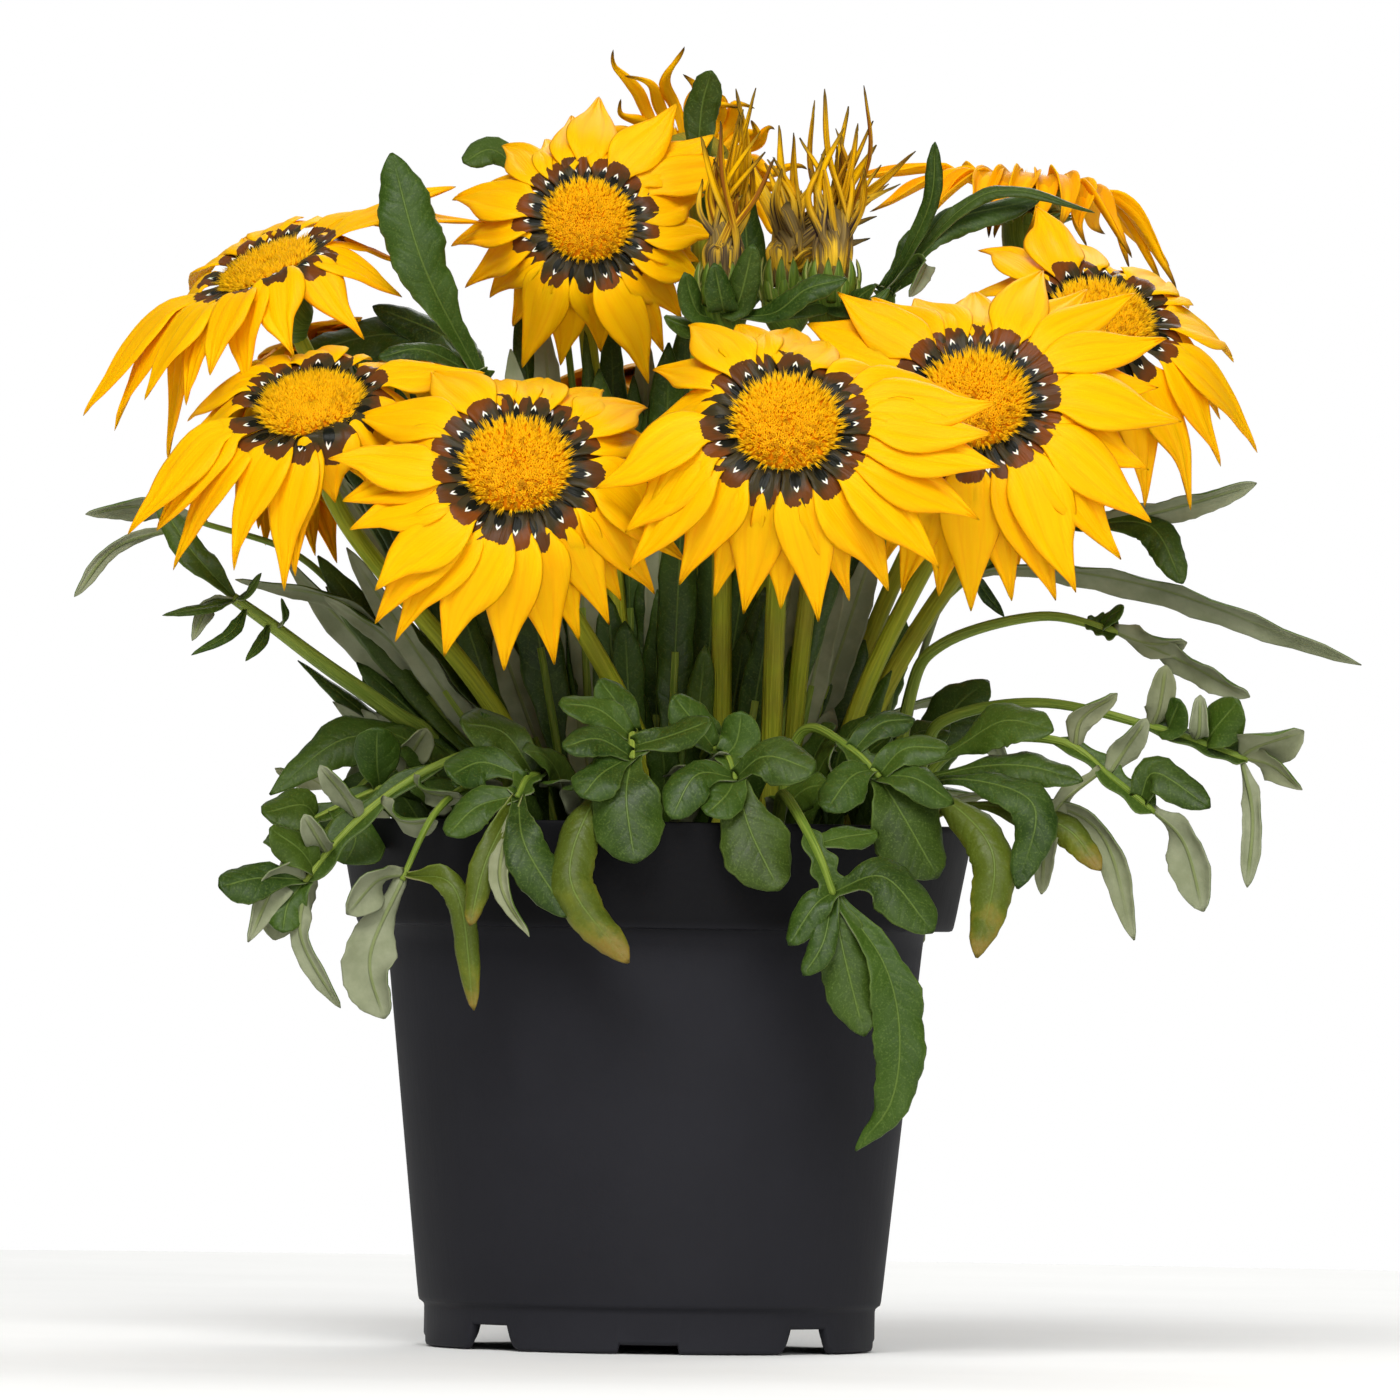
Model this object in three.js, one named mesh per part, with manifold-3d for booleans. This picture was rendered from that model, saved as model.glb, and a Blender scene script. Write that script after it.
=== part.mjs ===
// A flowering gazania in its nursery pot. Millimetres, +Z up, the pot's foot centre at the origin,
// the best side of the plant towards -Y. Every stem and leaf crown stands in its own hole in the soil.
import * as THREE from "three";
import { mergeVertices } from "three/addons/utils/BufferGeometryUtils.js";
import Module from "manifold-3d";

const wasm = await Module();
wasm.setup();

// ---------------------------------------------------------------- sizes
const SOIL_TOP = 98; // soil level at the rim, the middle is a little higher
const SOIL_CENTRE = 100;
const HOLE_FLOOR = 89.6; // bottom of the planting holes
const ROOT_Z = 90; // where stems and crowns begin, 0.4 above the hole's floor
const HOLE_DEPTH = 20; // runs out above the soil
const PLAY = 0.5; // radial gap between a stem and its hole
const SOIL_GAP = 0.45; // between the soil and the pot's wall
const CROWN_R = 3.4; // widest reach of a crown of leaves
const CROWN = { foot: 3.1, top: 2.4, above: 1.5 }; // its radii, and how far it stands out of the soil

const STEM_R = 2.2;
const STEM_UPRIGHT = 13; // length of a stem that stands straight in and above its hole
const CUP_R = 6.6; // involucre, the green cup under a bloom
const CUP_LENGTH = 12;
const HUB_R = 10.5;
const HUB_TOP = 0.3;
const HUB_BOTTOM = -3.6;
const DISC_R = 12.2;
const DISC_HEIGHT = 4.6;
const DISC_GAP = 0.35; // between the hub and the disc on it
const PETAL_THICK = 0.9;
const PETAL_WIDTH = 11;
const RAY_START = 5.5; // a ray's root, inside the hub
const LAYER = 1.25; // between the three layers of rays
const LEAF_THICK = 0.9;

// Pot wall: outer profile from the foot to the rim top and back down the inside, radius and height.
const POT = {
  foot: 46.2, footInner: 42.6, footHeight: 9.2, floorBottom: 7.7, floorTop: 9.3,
  body: 47.4, bodyTop: 55.2, step: 86, band: 61.1, rim: 65.2, rimTop: 107.5, wall: 1.3,
  pad: 9, cornerNotch: [10, 5], sideNotch: [12, 1.7], // pad under the floor; notches' width and height
};
const POT_SIDES = 24;
const DRAIN = { count: 6, r: 4.5, at: 30 }; // drain holes, on a circle

const COLOURS = {
  pot: 0x2e2e32, soil: 0x33261c, petal: 0xffc605, withered: 0xb88a1c, disc: 0xe89a08,
  stem: 0x70802c, leaf: 0x35602d,
};

// ---------------------------------------------------------------- blooms
// at: middle of the ray ring; face: the way the bloom looks; root: where its stem enters the soil;
// length: ray length; tips: ray tips as seen from the front, sideways and upwards from the middle,
// with the depth as a third number where the ray does not simply fall away behind.
const BLOOMS = [
  { name: "1", at: [-81, -8, 219], face: [-0.4, -0.36, 0.84], root: [-29, -3], length: 42, scale: 0.94,
    tips: [[-38, -29], [-31, -33], [-25, -26, -14], [-21, -37], [-16, -28, -14], [-12, -20, -24],
      [-4, -23, -18], [6, -18, -22], [19, -12, -16], [27, -4, -8], [27, 3, 6], [38, 18, 2], [43, 13, 8],
      [4, 13, 30], [10, 11, 26], [-7, 10, 26], [-17, -3, 30]] },
  { name: "2", at: [-71, -40, 190], face: [-0.16, -0.6, 0.78], root: [-24, -15], length: 41, scale: 0.98,
    tips: [[-26, -2, 26], [-26, -5, 16], [-37, -25], [-31, -25, -2], [-28, -31], [-15, -33, -8], [-5, -36],
      [-3, -32, -10], [5, -18, -8], [20, -12, -6], [35, 8, 2], [25, -3, 0], [-8, 8, 30], [-1, 12, 29],
      [8, 12, 28], [-20, 4]] },
  { name: "3", at: [-29, -68, 178], face: [-0.02, -0.87, 0.48], root: [1, -26], length: 40, scale: 1,
    tips: [[-38, 2, 2], [-33, 11], [-18, 20], [-11, 19], [-4, 19], [5, 19], [17, 18], [26, 14], [27, 6],
      [34, -18], [28, -24], [19, -31], [8, -38], [-2, -40], [-14, -38], [-24, -34], [-28, -31],
      [-28, -25], [-35, -7]] },
  { name: "4", at: [25, -76, 187], face: [0.03, -0.87, 0.48], root: [23, -27], length: 40, scale: 1,
    tips: [[-20, 21], [-27, 13], [-29, -1], [-38, -13, 2], [-32, -21, 3], [-31, -28, 3], [-21, -32], [-8, -37],
      [7, -39], [21, -32], [31, -28], [39, -17, -1], [43, -7, -2], [41, -1, -2], [42, 6, -1], [25, 8, 19],
      [14, 10, 30], [8, 18, 29], [1, 22, 31], [-10, 22]] },
  { name: "5", at: [63, -50, 193], face: [-0.04, -0.88, 0.46], root: [35, -19], length: 42, scale: 1.02,
    tips: [[-28, 23, 9], [-34, 16, 14], [-21, 23], [-12, 22], [0, 24], [14, 28], [33, 24], [39, 14], [42, -3],
      [36, -23], [30, -30], [21, -38], [17, -39], [0, -42], [-14, -38], [-24, -29], [-33, -16],
      [-35, 1]] },
  { name: "6", at: [90, -16, 210], face: [0.18, -0.7, 0.68], root: [38, -6], length: 40, scale: 0.96,
    tips: [[-13, 25, 18], [-16, 16], [-30, 5], [-25, 15], [-6, 17], [0, 13, 22], [14, 9], [19, 5],
      [28, -7], [33, -25], [25, -29], [19, -38], [10, -36], [1, -38], [-4, -40], [-15, -32],
      [-24, -20], [-29, -8]] },
  { name: "7", at: [-16, -8, 230], face: [0.05, -0.92, 0.38], root: [-6, -4], length: 33, scale: 0.84,
    tips: [[2, 28], [-9, 18], [7, 20], [18, 25, 7], [34, 15], [24, 7, 8], [27, -2], [24, -12, 8], [16, -25, 9],
      [13, -32], [3, -26], [-13, -29], [-20, -15], [-25, -12], [-28, -4], [-28, 5], [-18, 17]] },
  { name: "8", at: [76, 38, 239], face: [0.1, 0.1, 0.99], root: [35, 7], length: 38, scale: 0.95,
    tips: [[-26, -7, -16], [-25, -11, -20], [-38, 3, 2], [-19, 8, 24], [-7, 6, 32], [1, 6, 34],
      [8, 4, 33], [14, -1, 32], [23, -9, 24], [28, -14, 14], [30, -19, -2], [19, -12, -20],
      [6, -9, -27], [-7, -9, -28], [-16, -7, -24]] },
  { name: "9", at: [5, 30, 243], face: [-0.08, 0.88, 0.47], root: [6, 9], length: 34, scale: 0.85,
    tips: [[-16, 24, -14], [-12, 20, -13], [-5, 25, -15], [1, 19, -12], [6, 17, -11], [12, 13, -8],
      [18, 7, -5], [-21, 10, -8], [-25, -1, -3], [-21, -11, 3], [-13, -19, 7], [0, -23, 8],
      [12, -20, 7], [20, -12, 4], [24, -2, -2]] },
  { name: "back_left", at: [-72, 46, 196], face: [-0.42, 0.66, 0.62],
    root: [-17, 24], length: 36, scale: 0.96 },
  { name: "back_middle", at: [-4, 60, 190], face: [0, 0.76, 0.65],
    root: [1, 27], length: 36, scale: 0.94 },
  { name: "back_right", at: [66, 66, 196], face: [0.34, 0.74, 0.58],
    root: [22, 29], length: 37, scale: 1 },
];
const BACK_RAYS = 16; // rays of a bloom on the far side

// Spent blooms: closed bundles of withered rays.
const BUD_SCALE = 0.86;
const BUDS = [
  { name: "a", at: [12, -28, 219], root: [13, -13],
    tips: [[-5, 28, -4], [2, 38, 2], [6, 38, -3], [3, 34, 6], [7, 29, -6], [10, 24, 0],
      [-2, 24, 5], [-1, 31, -6]] },
  { name: "b", at: [25, -6, 221], root: [18, 2],
    tips: [[-8, 23, 4], [1, 28, -3], [13, 20, 6], [18, 26, 2], [26, 25, 5], [23, 18, 0], [17, 7, 6],
      [-11, 30, 5], [-2, 30, 8]] },
  { name: "c", at: [34, -28, 220], root: [27, -11],
    tips: [[-2, 37, -3], [6, 38, 1], [-4, 35, 4], [8, 31, 4], [2, 29, -7], [-7, 27, -2],
      [3, 34, 7]] },
];

// ---------------------------------------------------------------- leaves
// A crown per group, at its place on the soil, and the blades that grow from it. A blade is
// [kind, width, points...] from base to tip. First letter of kind: k stalk, o spoon-shaped, s strap,
// l lance, t tall and broad from its foot. Second letter: u top side to the front, g felted underside
// to the front, y aged, top to the front. A third letter r means the blade has its own petiole from
// the crown; the others start on the nearest stalk of their group.
const LEAVES = {
  left_low: { root: [-31, -27], blades: [
    ["kur", 2.4, [-28, -34, 124], [-45, -40, 118], [-57, -42, 110], [-65, -45, 102], [-71, -48, 94]],
    ["lg", 9, [-76, -49, 95], [-82, -52, 82]],
    ["ou", 10.5, [-80, -52, 95], [-88, -55, 93]],
    ["ou", 8.5, [-74, -50, 90], [-75, -53, 84]],
    ["sg", 5.5, [-71, -52, 83], [-63, -54, 69]],
    ["og", 6.5, [-63, -46, 112], [-68, -50, 118]],
    ["og", 6.5, [-68, -49, 103], [-71, -53, 108]],
    ["ou", 9, [-72, -50, 101], [-78, -53, 105]],
    ["og", 6, [-46, -46, 113], [-39, -50, 112]],
    ["og", 7.5, [-51, -48, 107], [-44, -52, 107]],
    ["kur", 2.2, [-38, -42, 114], [-45, -53, 108], [-51, -57, 95]],
    ["og", 12.5, [-57, -59, 80], [-54, -59, 67]],
    ["og", 10, [-56, -60, 95], [-62, -63, 88]],
    ["kur", 2.2, [-24, -46, 116], [-26, -54, 116], [-28, -61, 112]],
    ["sg", 6.5, [-40, -64, 93], [-36, -63, 69]],
    ["oy", 6.5, [-34, -68, 99], [-37, -70, 86]],
    ["ou", 11, [-35, -54, 119], [-42, -59, 116]],
    ["ou", 9, [-36, -60, 110], [-42, -64, 104]],
    ["ou", 12, [-31, -47, 125], [-40, -51, 127]],
    ["ou", 10.5, [-26, -70, 102], [-17, -72, 88]],
    ["lg", 5, [-31, -70, 96], [-25, -72, 84]],
  ] },
  left_big: { root: [-41, -10], blades: [
    ["lur", 14, [-44, -7, 121], [-63, -10, 124], [-79, -16, 112]],
    ["kur", 2, [-48, -20, 117], [-60, -25, 112], [-70, -28, 107]],
    ["ou", 12, [-72, -31, 110], [-80, -35, 108]],
    ["ou", 13, [-61, -32, 104], [-63, -36, 98]],
    ["ou", 10.5, [-74, -32, 103], [-78, -36, 101]],
    ["ou", 10.5, [-57, -28, 119], [-57, -32, 126]],
    ["og", 8, [-50, -24, 121], [-47, -28, 126]],
  ] },
  shoot_left: { root: [-38, 7], blades: [
    ["kur", 3, [-52, -4, 126], [-68, -12, 136], [-79, -17, 146], [-87, -19, 152]],
    ["lu", 4.5, [-92, -26, 150], [-101, -30, 148]],
    ["lu", 4, [-87, -25, 145], [-95, -30, 140]],
    ["lu", 3.8, [-81, -24, 143], [-84, -28, 139]],
    ["lu", 3.8, [-76, -21, 148], [-77, -25, 152]],
    ["lu", 4, [-84, -25, 153], [-81, -28, 157]],
    ["lu", 7, [-96, -15, 162], [-104, -10, 174]],
    ["lg", 5, [-92, -22, 150], [-95, -26, 143]],
    ["kur", 2.2, [-57, 9, 144], [-74, 8, 161], [-95, 6, 168]],
    ["lg", 7, [-107, 3, 171], [-118, -2, 169]],
    ["sg", 3.6, [-111, 1, 163], [-120, -3, 152]],
    ["sgr", 5.5, [-47, 5, 132], [-63, -1, 151], [-87, -6, 156]],
    ["sgr", 5.5, [-41, 4, 126], [-55, -3, 144], [-69, -8, 153]],
    ["tur", 12, [-45, 13, 120], [-53, 18, 132], [-61, 22, 140]],
  ] },
  leaf_tall: { root: [-18, 11], blades: [
    ["kur", 2.6, [-27, 4, 161], [-33, -8, 185], [-38, -18, 199]],
    ["ou", 14.5, [-49, -26, 220], [-56, -24, 243]],
    ["ou", 5.5, [-49, -25, 203], [-58, -28, 201]],
    ["ou", 8.5, [-44, 2, 206], [-60, 10, 213]],
    ["tur", 11, [-13, 15, 122], [-10, 20, 140], [-9, 24, 156]],
    ["kur", 2, [-18, 20, 190], [-24, 22, 232], [-29, 22, 241]],
    ["ou", 7.5, [-36, 21, 246], [-42, 18, 243]],
  ] },
  centre_left: { root: [-5, -39], blades: [
    ["kur", 2.6, [-4, -48, 125], [-5, -56, 125], [-5, -62, 120]],
    ["ou", 16, [-6, -69, 112], [-4, -72, 99]],
    ["ou", 8.5, [-12, -65, 124], [-19, -68, 122]],
    ["ou", 10.5, [-11, -68, 117], [-15, -71, 112]],
    ["ou", 8.5, [-12, -59, 130], [-20, -61, 131]],
    ["ou", 8.5, [-8, -55, 131], [-12, -56, 136]],
    ["ou", 8, [3, -62, 125], [11, -65, 128]],
    ["oyr", 12, [-11, -63, 114], [-17, -73, 96], [-5, -75, 79]],
  ] },
  centre_mid: { root: [8, -41], blades: [
    ["kur", 2.2, [10, -50, 122], [14, -58, 121], [16, -62, 116]],
    ["ou", 10, [8, -67, 117], [3, -70, 108]],
    ["ou", 9, [16, -58, 124], [17, -59, 130]],
    ["ou", 12, [22, -66, 121], [32, -69, 118]],
    ["ou", 9, [14, -67, 113], [10, -70, 109]],
    ["ou", 15, [19, -68, 106], [25, -71, 94]],
    ["ou", 9, [8, -56, 127], [3, -57, 133]],
  ] },
  centre_right: { root: [24, -38], blades: [
    ["kur", 2.6, [31, -44, 127], [40, -51, 122], [45, -54, 117]],
    ["ou", 17, [50, -58, 109], [57, -56, 97]],
    ["ou", 10.5, [39, -58, 117], [34, -63, 110]],
    ["ou", 9, [52, -59, 117], [60, -58, 112]],
    ["ou", 8.5, [50, -55, 123], [59, -56, 123]],
    ["ou", 7.5, [45, -50, 128], [52, -49, 129]],
    ["kur", 3, [26, -56, 113], [32, -66, 103], [36, -68, 93]],
    ["ou", 14.5, [38, -71, 82], [43, -72, 65]],
    ["ou", 12.5, [52, -72, 68], [41, -68, 42]],
    ["ou", 13, [46, -71, 97], [56, -72, 86]],
    ["ou", 7.5, [32, -71, 91], [27, -72, 83]],
    ["ou", 6, [34, -73, 84], [30, -74, 77]],
    ["ou", 6.5, [38, -63, 105], [45, -60, 106]],
  ] },
  right_rosette: { root: [41, -31], blades: [
    ["our", 11.5, [60, -40, 123], [70, -46, 129], [80, -50, 127]],
    ["our", 8.5, [62, -44, 119], [74, -49, 120], [86, -53, 117]],
    ["oyr", 11, [56, -46, 114], [68, -56, 102], [65, -58, 81]],
    ["our", 10, [61, -49, 117], [76, -56, 112], [73, -58, 95]],
  ] },
  right_low: { root: [49, -20], blades: [
    ["sgr", 7.5, [68, -34, 114], [89, -42, 108], [97, -46, 85]],
    ["oyr", 8, [66, -38, 112], [82, -47, 108], [90, -51, 99]],
    ["kur", 2.4, [66, -28, 125], [82, -34, 125], [92, -37, 118], [101, -40, 111]],
    ["og", 10.5, [107, -43, 105], [111, -45, 91]],
    ["ou", 9, [101, -41, 119], [112, -45, 112]],
    ["og", 6, [86, -37, 130], [93, -40, 135]],
    ["og", 6.5, [95, -37, 124], [99, -41, 130]],
    ["og", 6, [80, -44, 110], [78, -50, 94]],
  ] },
  right_mid: { root: [51, -7], blades: [
    ["kur", 2.2, [60, -14, 130], [79, -20, 133], [102, -26, 128], [120, -30, 122]],
    ["og", 6.5, [102, -29, 133], [103, -32, 141]],
    ["ou", 7.5, [104, -29, 129], [106, -33, 134]],
    ["og", 5, [110, -31, 128], [110, -33, 135]],
    ["ou", 11, [113, -31, 128], [118, -34, 134]],
    ["og", 12, [122, -33, 125], [131, -37, 128]],
    ["lg", 7.5, [125, -32, 121], [131, -34, 116]],
    ["sg", 5, [121, -34, 111], [120, -36, 96]],
  ] },
  straps_right: { root: [47, 6], blades: [
    ["sgr", 6, [66, 9, 160], [100, 5, 158], [144, 0, 142]],
    ["kur", 2.2, [58, 1, 145], [78, 0, 151], [94, -2, 148]],
    ["og", 7.5, [100, -4, 146], [108, -7, 146]],
    ["og", 7.5, [108, -5, 142], [121, -8, 135]],
    ["ou", 4.5, [92, -4, 151], [95, -7, 153]],
    ["tur", 12, [54, 13, 120], [61, 18, 132], [68, 22, 138]],
  ] },
  right_up: { root: [42, 16], blades: [
    ["kur", 2.2, [60, 16, 156], [74, 13, 166], [86, 9, 170]],
    ["sg", 7, [102, 4, 173], [122, 0, 179]],
    ["ou", 8, [100, 2, 170], [107, -5, 158]],
    ["lu", 3.4, [67, 18, 156], [71, 18, 151]],
  ] },
  top_right: { root: [30, 22], blades: [
    ["kur", 2.4, [40, 16, 175], [43, 12, 208], [46, 9, 218]],
    ["ou", 8.5, [56, 8, 231], [77, 9, 237]],
    ["ou", 4, [54, 3, 235], [55, 0, 248]],
    ["og", 5.5, [53, 2, 223], [50, -4, 216]],
    ["kur", 2, [18, 17, 195], [10, 8, 230], [6, 6, 240]],
    ["ou", 7.5, [7, 4, 254], [9, 1, 262]],
  ] },
  back_left: { root: [-30, 31], blades: [
    ["kur", 2.4, [-42, 44, 122], [-58, 56, 118], [-70, 64, 104]],
    ["ou", 12.5, [-76, 70, 96], [-80, 74, 82]],
    ["ou", 9, [-72, 62, 116], [-80, 60, 118]],
    ["ou", 9, [-60, 66, 110], [-60, 74, 102]],
    ["ou", 9, [-56, 50, 126], [-64, 44, 132]],
    ["ogr", 10, [-38, 42, 124], [-54, 58, 126], [-66, 70, 112]],
    ["our", 11.5, [-26, 44, 124], [-34, 62, 124], [-38, 76, 100]],
    ["tur", 13, [-37, 33, 122], [-44, 35, 136], [-48, 36, 148]],
    ["tur", 13, [-28, 37, 126], [-30, 40, 144], [-28, 43, 157]],
  ] },
  back_middle: { root: [2, 42], blades: [
    ["kur", 2.4, [2, 54, 124], [0, 66, 118], [-2, 74, 104]],
    ["ou", 15, [-3, 78, 92], [-4, 79, 76]],
    ["ou", 9, [8, 70, 116], [16, 76, 112]],
    ["ou", 9, [-8, 72, 112], [-15, 78, 106]],
    ["ou", 8, [8, 62, 125], [15, 64, 130]],
    ["ogr", 8, [-8, 54, 128], [-16, 74, 136], [-22, 96, 122]],
    ["tur", 13, [-7, 43, 126], [-13, 44, 146], [-16, 46, 162]],
    ["tur", 13, [4, 46, 128], [2, 49, 150], [-1, 51, 168]],
    ["tur", 13, [11, 42, 124], [17, 42, 144], [19, 44, 160]],
  ] },
  back_right: { root: [34, 34], blades: [
    ["kur", 2.4, [42, 46, 124], [50, 62, 120], [53, 72, 106]],
    ["ou", 14, [51, 78, 94], [50, 81, 78]],
    ["ou", 9, [57, 66, 116], [68, 66, 114]],
    ["ou", 9, [45, 70, 114], [38, 78, 108]],
    ["sgr", 7, [50, 42, 132], [64, 54, 134], [74, 64, 118]],
    ["our", 10.5, [30, 50, 124], [30, 66, 122], [30, 78, 102]],
    ["tur", 13, [39, 33, 124], [45, 33, 140], [50, 34, 152]],
    ["tur", 13, [32, 50, 124], [28, 56, 140], [26, 58, 152]],
  ] },
};
// Small leaves that grow on the stems of the spent blooms.
const STEM_LEAVES = {
  a: [["ou", 8, [7, -34, 211], [4, -38, 219]], ["ou", 7.5, [15, -35, 213], [17, -39, 223]],
    ["ou", 6, [6, -31, 208], [0, -34, 210]], ["ou", 6.5, [12, -34, 206], [8, -39, 205]]],
  c: [["ou", 7.5, [30, -35, 213], [23, -39, 210]], ["ou", 8, [37, -36, 213], [42, -41, 217]],
    ["lu", 4, [41, -27, 213], [46, -25, 217]], ["ou", 6.5, [38, -32, 209], [42, -36, 206]]],
};

// ---------------------------------------------------------------- vectors and curves
const vector = (xyz) => new THREE.Vector3(...xyz);
const plus = (p, q, k = 1) => p.clone().addScaledVector(q, k); // p + k q
const minus = (p, q) => p.clone().sub(q);
const unit = (p) => p.clone().normalize();
const cross = (p, q) => new THREE.Vector3().crossVectors(p, q);
const flattened = (p, n) => plus(p, n, -p.dot(n)); // the part of p square to n
const onRing = (middle, a, b, r, turn) => plus(plus(middle, a, r * Math.cos(turn)), b, r * Math.sin(turn));
const TURN = 2 * Math.PI;

// A repeatable random number in 0..1 for a seed.
const draw = (seed) => {
  const s = Math.sin(seed * 12.9898 + 4.1414) * 43758.5453;
  return s - Math.floor(s);
};

const smooth = (points) => new THREE.CatmullRomCurve3(points, false, "catmullrom", 0.5);
const direction = (curve, t) => {
  const ahead = curve.getPoint(Math.min(1, t + 0.01)), behind = curve.getPoint(Math.max(0, t - 0.01));
  return unit(minus(ahead, behind));
};
const evenly = (curve, steps) => Array.from({ length: steps + 1 }, (_, i) => curve.getPoint(i / steps));

// ---------------------------------------------------------------- solids
// A closed geometry as a solid that can be joined and cut.
function solid(geometry) {
  geometry.deleteAttribute("normal");
  geometry.deleteAttribute("uv");
  const merged = mergeVertices(geometry);
  return new wasm.Manifold(new wasm.Mesh({
    numProp: 3,
    vertProperties: merged.getAttribute("position").array,
    triVerts: new Uint32Array(merged.index.array),
  }));
}

// A body turned round the Z axis from a profile of radius and height, which starts and ends on the axis.
function turned(profile, sides) {
  const points = profile.map(([r, z]) => new THREE.Vector2(r, z));
  return solid(new THREE.LatheGeometry(points, sides).rotateX(Math.PI / 2));
}

// An upright post or plug: radii at foot and top, height, sides and the middle of its foot.
function post(footR, topR, height, sides, x, y, z) {
  const geometry = new THREE.CylinderGeometry(topR, footR, height, sides).rotateX(Math.PI / 2);
  return solid(geometry.translate(x, y, z + height / 2));
}

// Rings of points, all of one size, joined into a closed body; a ring of one point is a pole.
function loft(rings) {
  const faces = [], start = [];
  let count = 0;
  for (const ring of rings) {
    start.push(count);
    count += ring.length;
  }
  for (let i = 0; i + 1 < rings.length; i++) {
    const a = start[i], b = start[i + 1], n = Math.max(rings[i].length, rings[i + 1].length);
    for (let k = 0; k < n; k++) {
      const m = (k + 1) % n;
      if (rings[i].length === 1) faces.push([a, b + m, b + k]);
      else if (rings[i + 1].length === 1) faces.push([a + k, a + m, b]);
      else faces.push([a + k, a + m, b + k], [a + m, b + m, b + k]);
    }
  }
  const cap = (s, n, flip) => {
    for (let k = 1; k + 1 < n; k++) faces.push(flip ? [s, s + k + 1, s + k] : [s, s + k, s + k + 1]);
  };
  cap(start[0], rings[0].length, true);
  cap(start.at(-1), rings.at(-1).length, false);
  const points = new THREE.BufferGeometry().setFromPoints(rings.flat());
  const made = solid(points.clone().setIndex(faces.flat()));
  return made.volume() > 0 ? made : solid(points.setIndex(faces.map(([a, b, c]) => [a, c, b]).flat()));
}

// A many-sided tube along a row of points, with a radius at each; teeth lifts every second corner.
function tube(points, radii, sides, teeth = []) {
  let side = null;
  return loft(points.map((at, i) => {
    const dir = unit(minus(points[Math.min(i + 1, points.length - 1)], points[Math.max(i - 1, 0)]));
    side = unit(side ? flattened(side, dir) : cross(dir, vector([0.31, 0.95, 0])));
    const up = cross(dir, side);
    return Array.from({ length: sides }, (_, k) => {
      const corner = onRing(at, side, up, radii[i], (k / sides) * TURN);
      return plus(corner, dir, k % 2 ? teeth[i] ?? 0 : 0);
    });
  }));
}

// A blade along a curve, flat above and keeled below. outline: [t, share of the width];
// facing: the way its upper side looks.
function blade(curve, outline, width, thick, facing) {
  return loft(outline.map(([t, share]) => {
    const at = curve.getPoint(t);
    if (share === 0) return [at];
    const dir = direction(curve, t);
    const side = unit(cross(dir, facing));
    const up = cross(side, dir);
    const half = (width * share) / 2;
    const top = plus(at, up, thick / 3);
    return [plus(top, side, half), plus(top, side, -half), plus(at, up, (-2 * thick) / 3)];
  }));
}
const OUTLINES = {
  petal: [[0, 0], [0.36, 0.78], [0.68, 1], [1, 0]],
  wisp: [[0, 0], [0.36, 1], [0.7, 0.6], [1, 0]],
  o: [[0, 0], [0.34, 0.6], [0.66, 1], [0.88, 0.78], [1, 0]],
  lobe: [[0, 0], [0.42, 0.85], [0.82, 0.95], [1, 0]],
  s: [[0, 0], [0.36, 0.85], [0.74, 1], [1, 0]],
  l: [[0, 0], [0.42, 1], [0.74, 0.75], [1, 0]],
  t: [[0, 0.3], [0.25, 0.62], [0.7, 1], [1, 0]],
};
const PETIOLE = [[0, 0.2], [0.25, 0.18], [0.52, 0.3]]; // the stalked start of a blade from the crown
const FACING = { u: vector([0, -0.8, 0.6]), g: vector([0.1, 0.72, 0.69]), y: vector([0, -0.92, 0.4]) };

// One body of all the parts; pockets that overlapping blades close off are filled.
const SEAM = 0.1; // edges shorter than this are taken out
function joined(parts) {
  const bodies = wasm.Manifold.union(parts).simplify(SEAM).decompose();
  return bodies.reduce((a, b) => (b.volume() > a.volume() ? b : a));
}

// ---------------------------------------------------------------- pot and soil
function makePot() {
  const p = POT, w = p.wall, above = p.rimTop + 1;
  const rimSlope = (p.rim - p.band) / (p.rimTop - p.step);
  const outside = [[0, 0], [p.foot - 0.8, 0], [p.foot, 1], [p.foot, p.footHeight - 1], [p.body, p.footHeight],
    [p.bodyTop, p.step], [p.band, p.step], [p.rim, p.rimTop], [0, p.rimTop]];
  const inside = [[0, p.floorTop], [p.body - w, p.floorTop], [p.bodyTop - w, p.step + w],
    [p.band - w, p.step + w], [p.rim - w + rimSlope, above], [0, above]];
  let pot = turned(outside, POT_SIDES).subtract(turned(inside, POT_SIDES));
  // The hollow under the floor, with a pad left in the middle at foot level.
  const hollow = [[0, -1], [p.footInner, -1], [p.footInner, p.floorBottom], [0, p.floorBottom]];
  pot = pot.subtract(turned(hollow, 20).subtract(post(p.pad, p.pad, p.floorBottom + 3, 8, 0, 0, -2)));
  // Notches in the foot ring: four tall ones at the corners, four low ones between them.
  for (let k = 0; k < 4; k++) {
    for (const [notch, turn] of [[p.cornerNotch, 45], [p.sideNotch, 0]]) {
      const [wide, high] = notch;
      const box = new THREE.BoxGeometry(wide, 8, 2 * high).translate(0, 1.7 - p.foot, 0);
      pot = pot.subtract(solid(box.rotateZ(THREE.MathUtils.degToRad(turn + 90 * k))));
    }
  }
  for (let k = 0; k < DRAIN.count; k++) {
    const turn = ((k + 0.5) / DRAIN.count) * TURN;
    const [x, y] = [DRAIN.at * Math.cos(turn), DRAIN.at * Math.sin(turn)];
    pot = pot.subtract(post(DRAIN.r, DRAIN.r, 4, 8, x, y, p.floorBottom - 1));
  }
  return pot;
}

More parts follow.
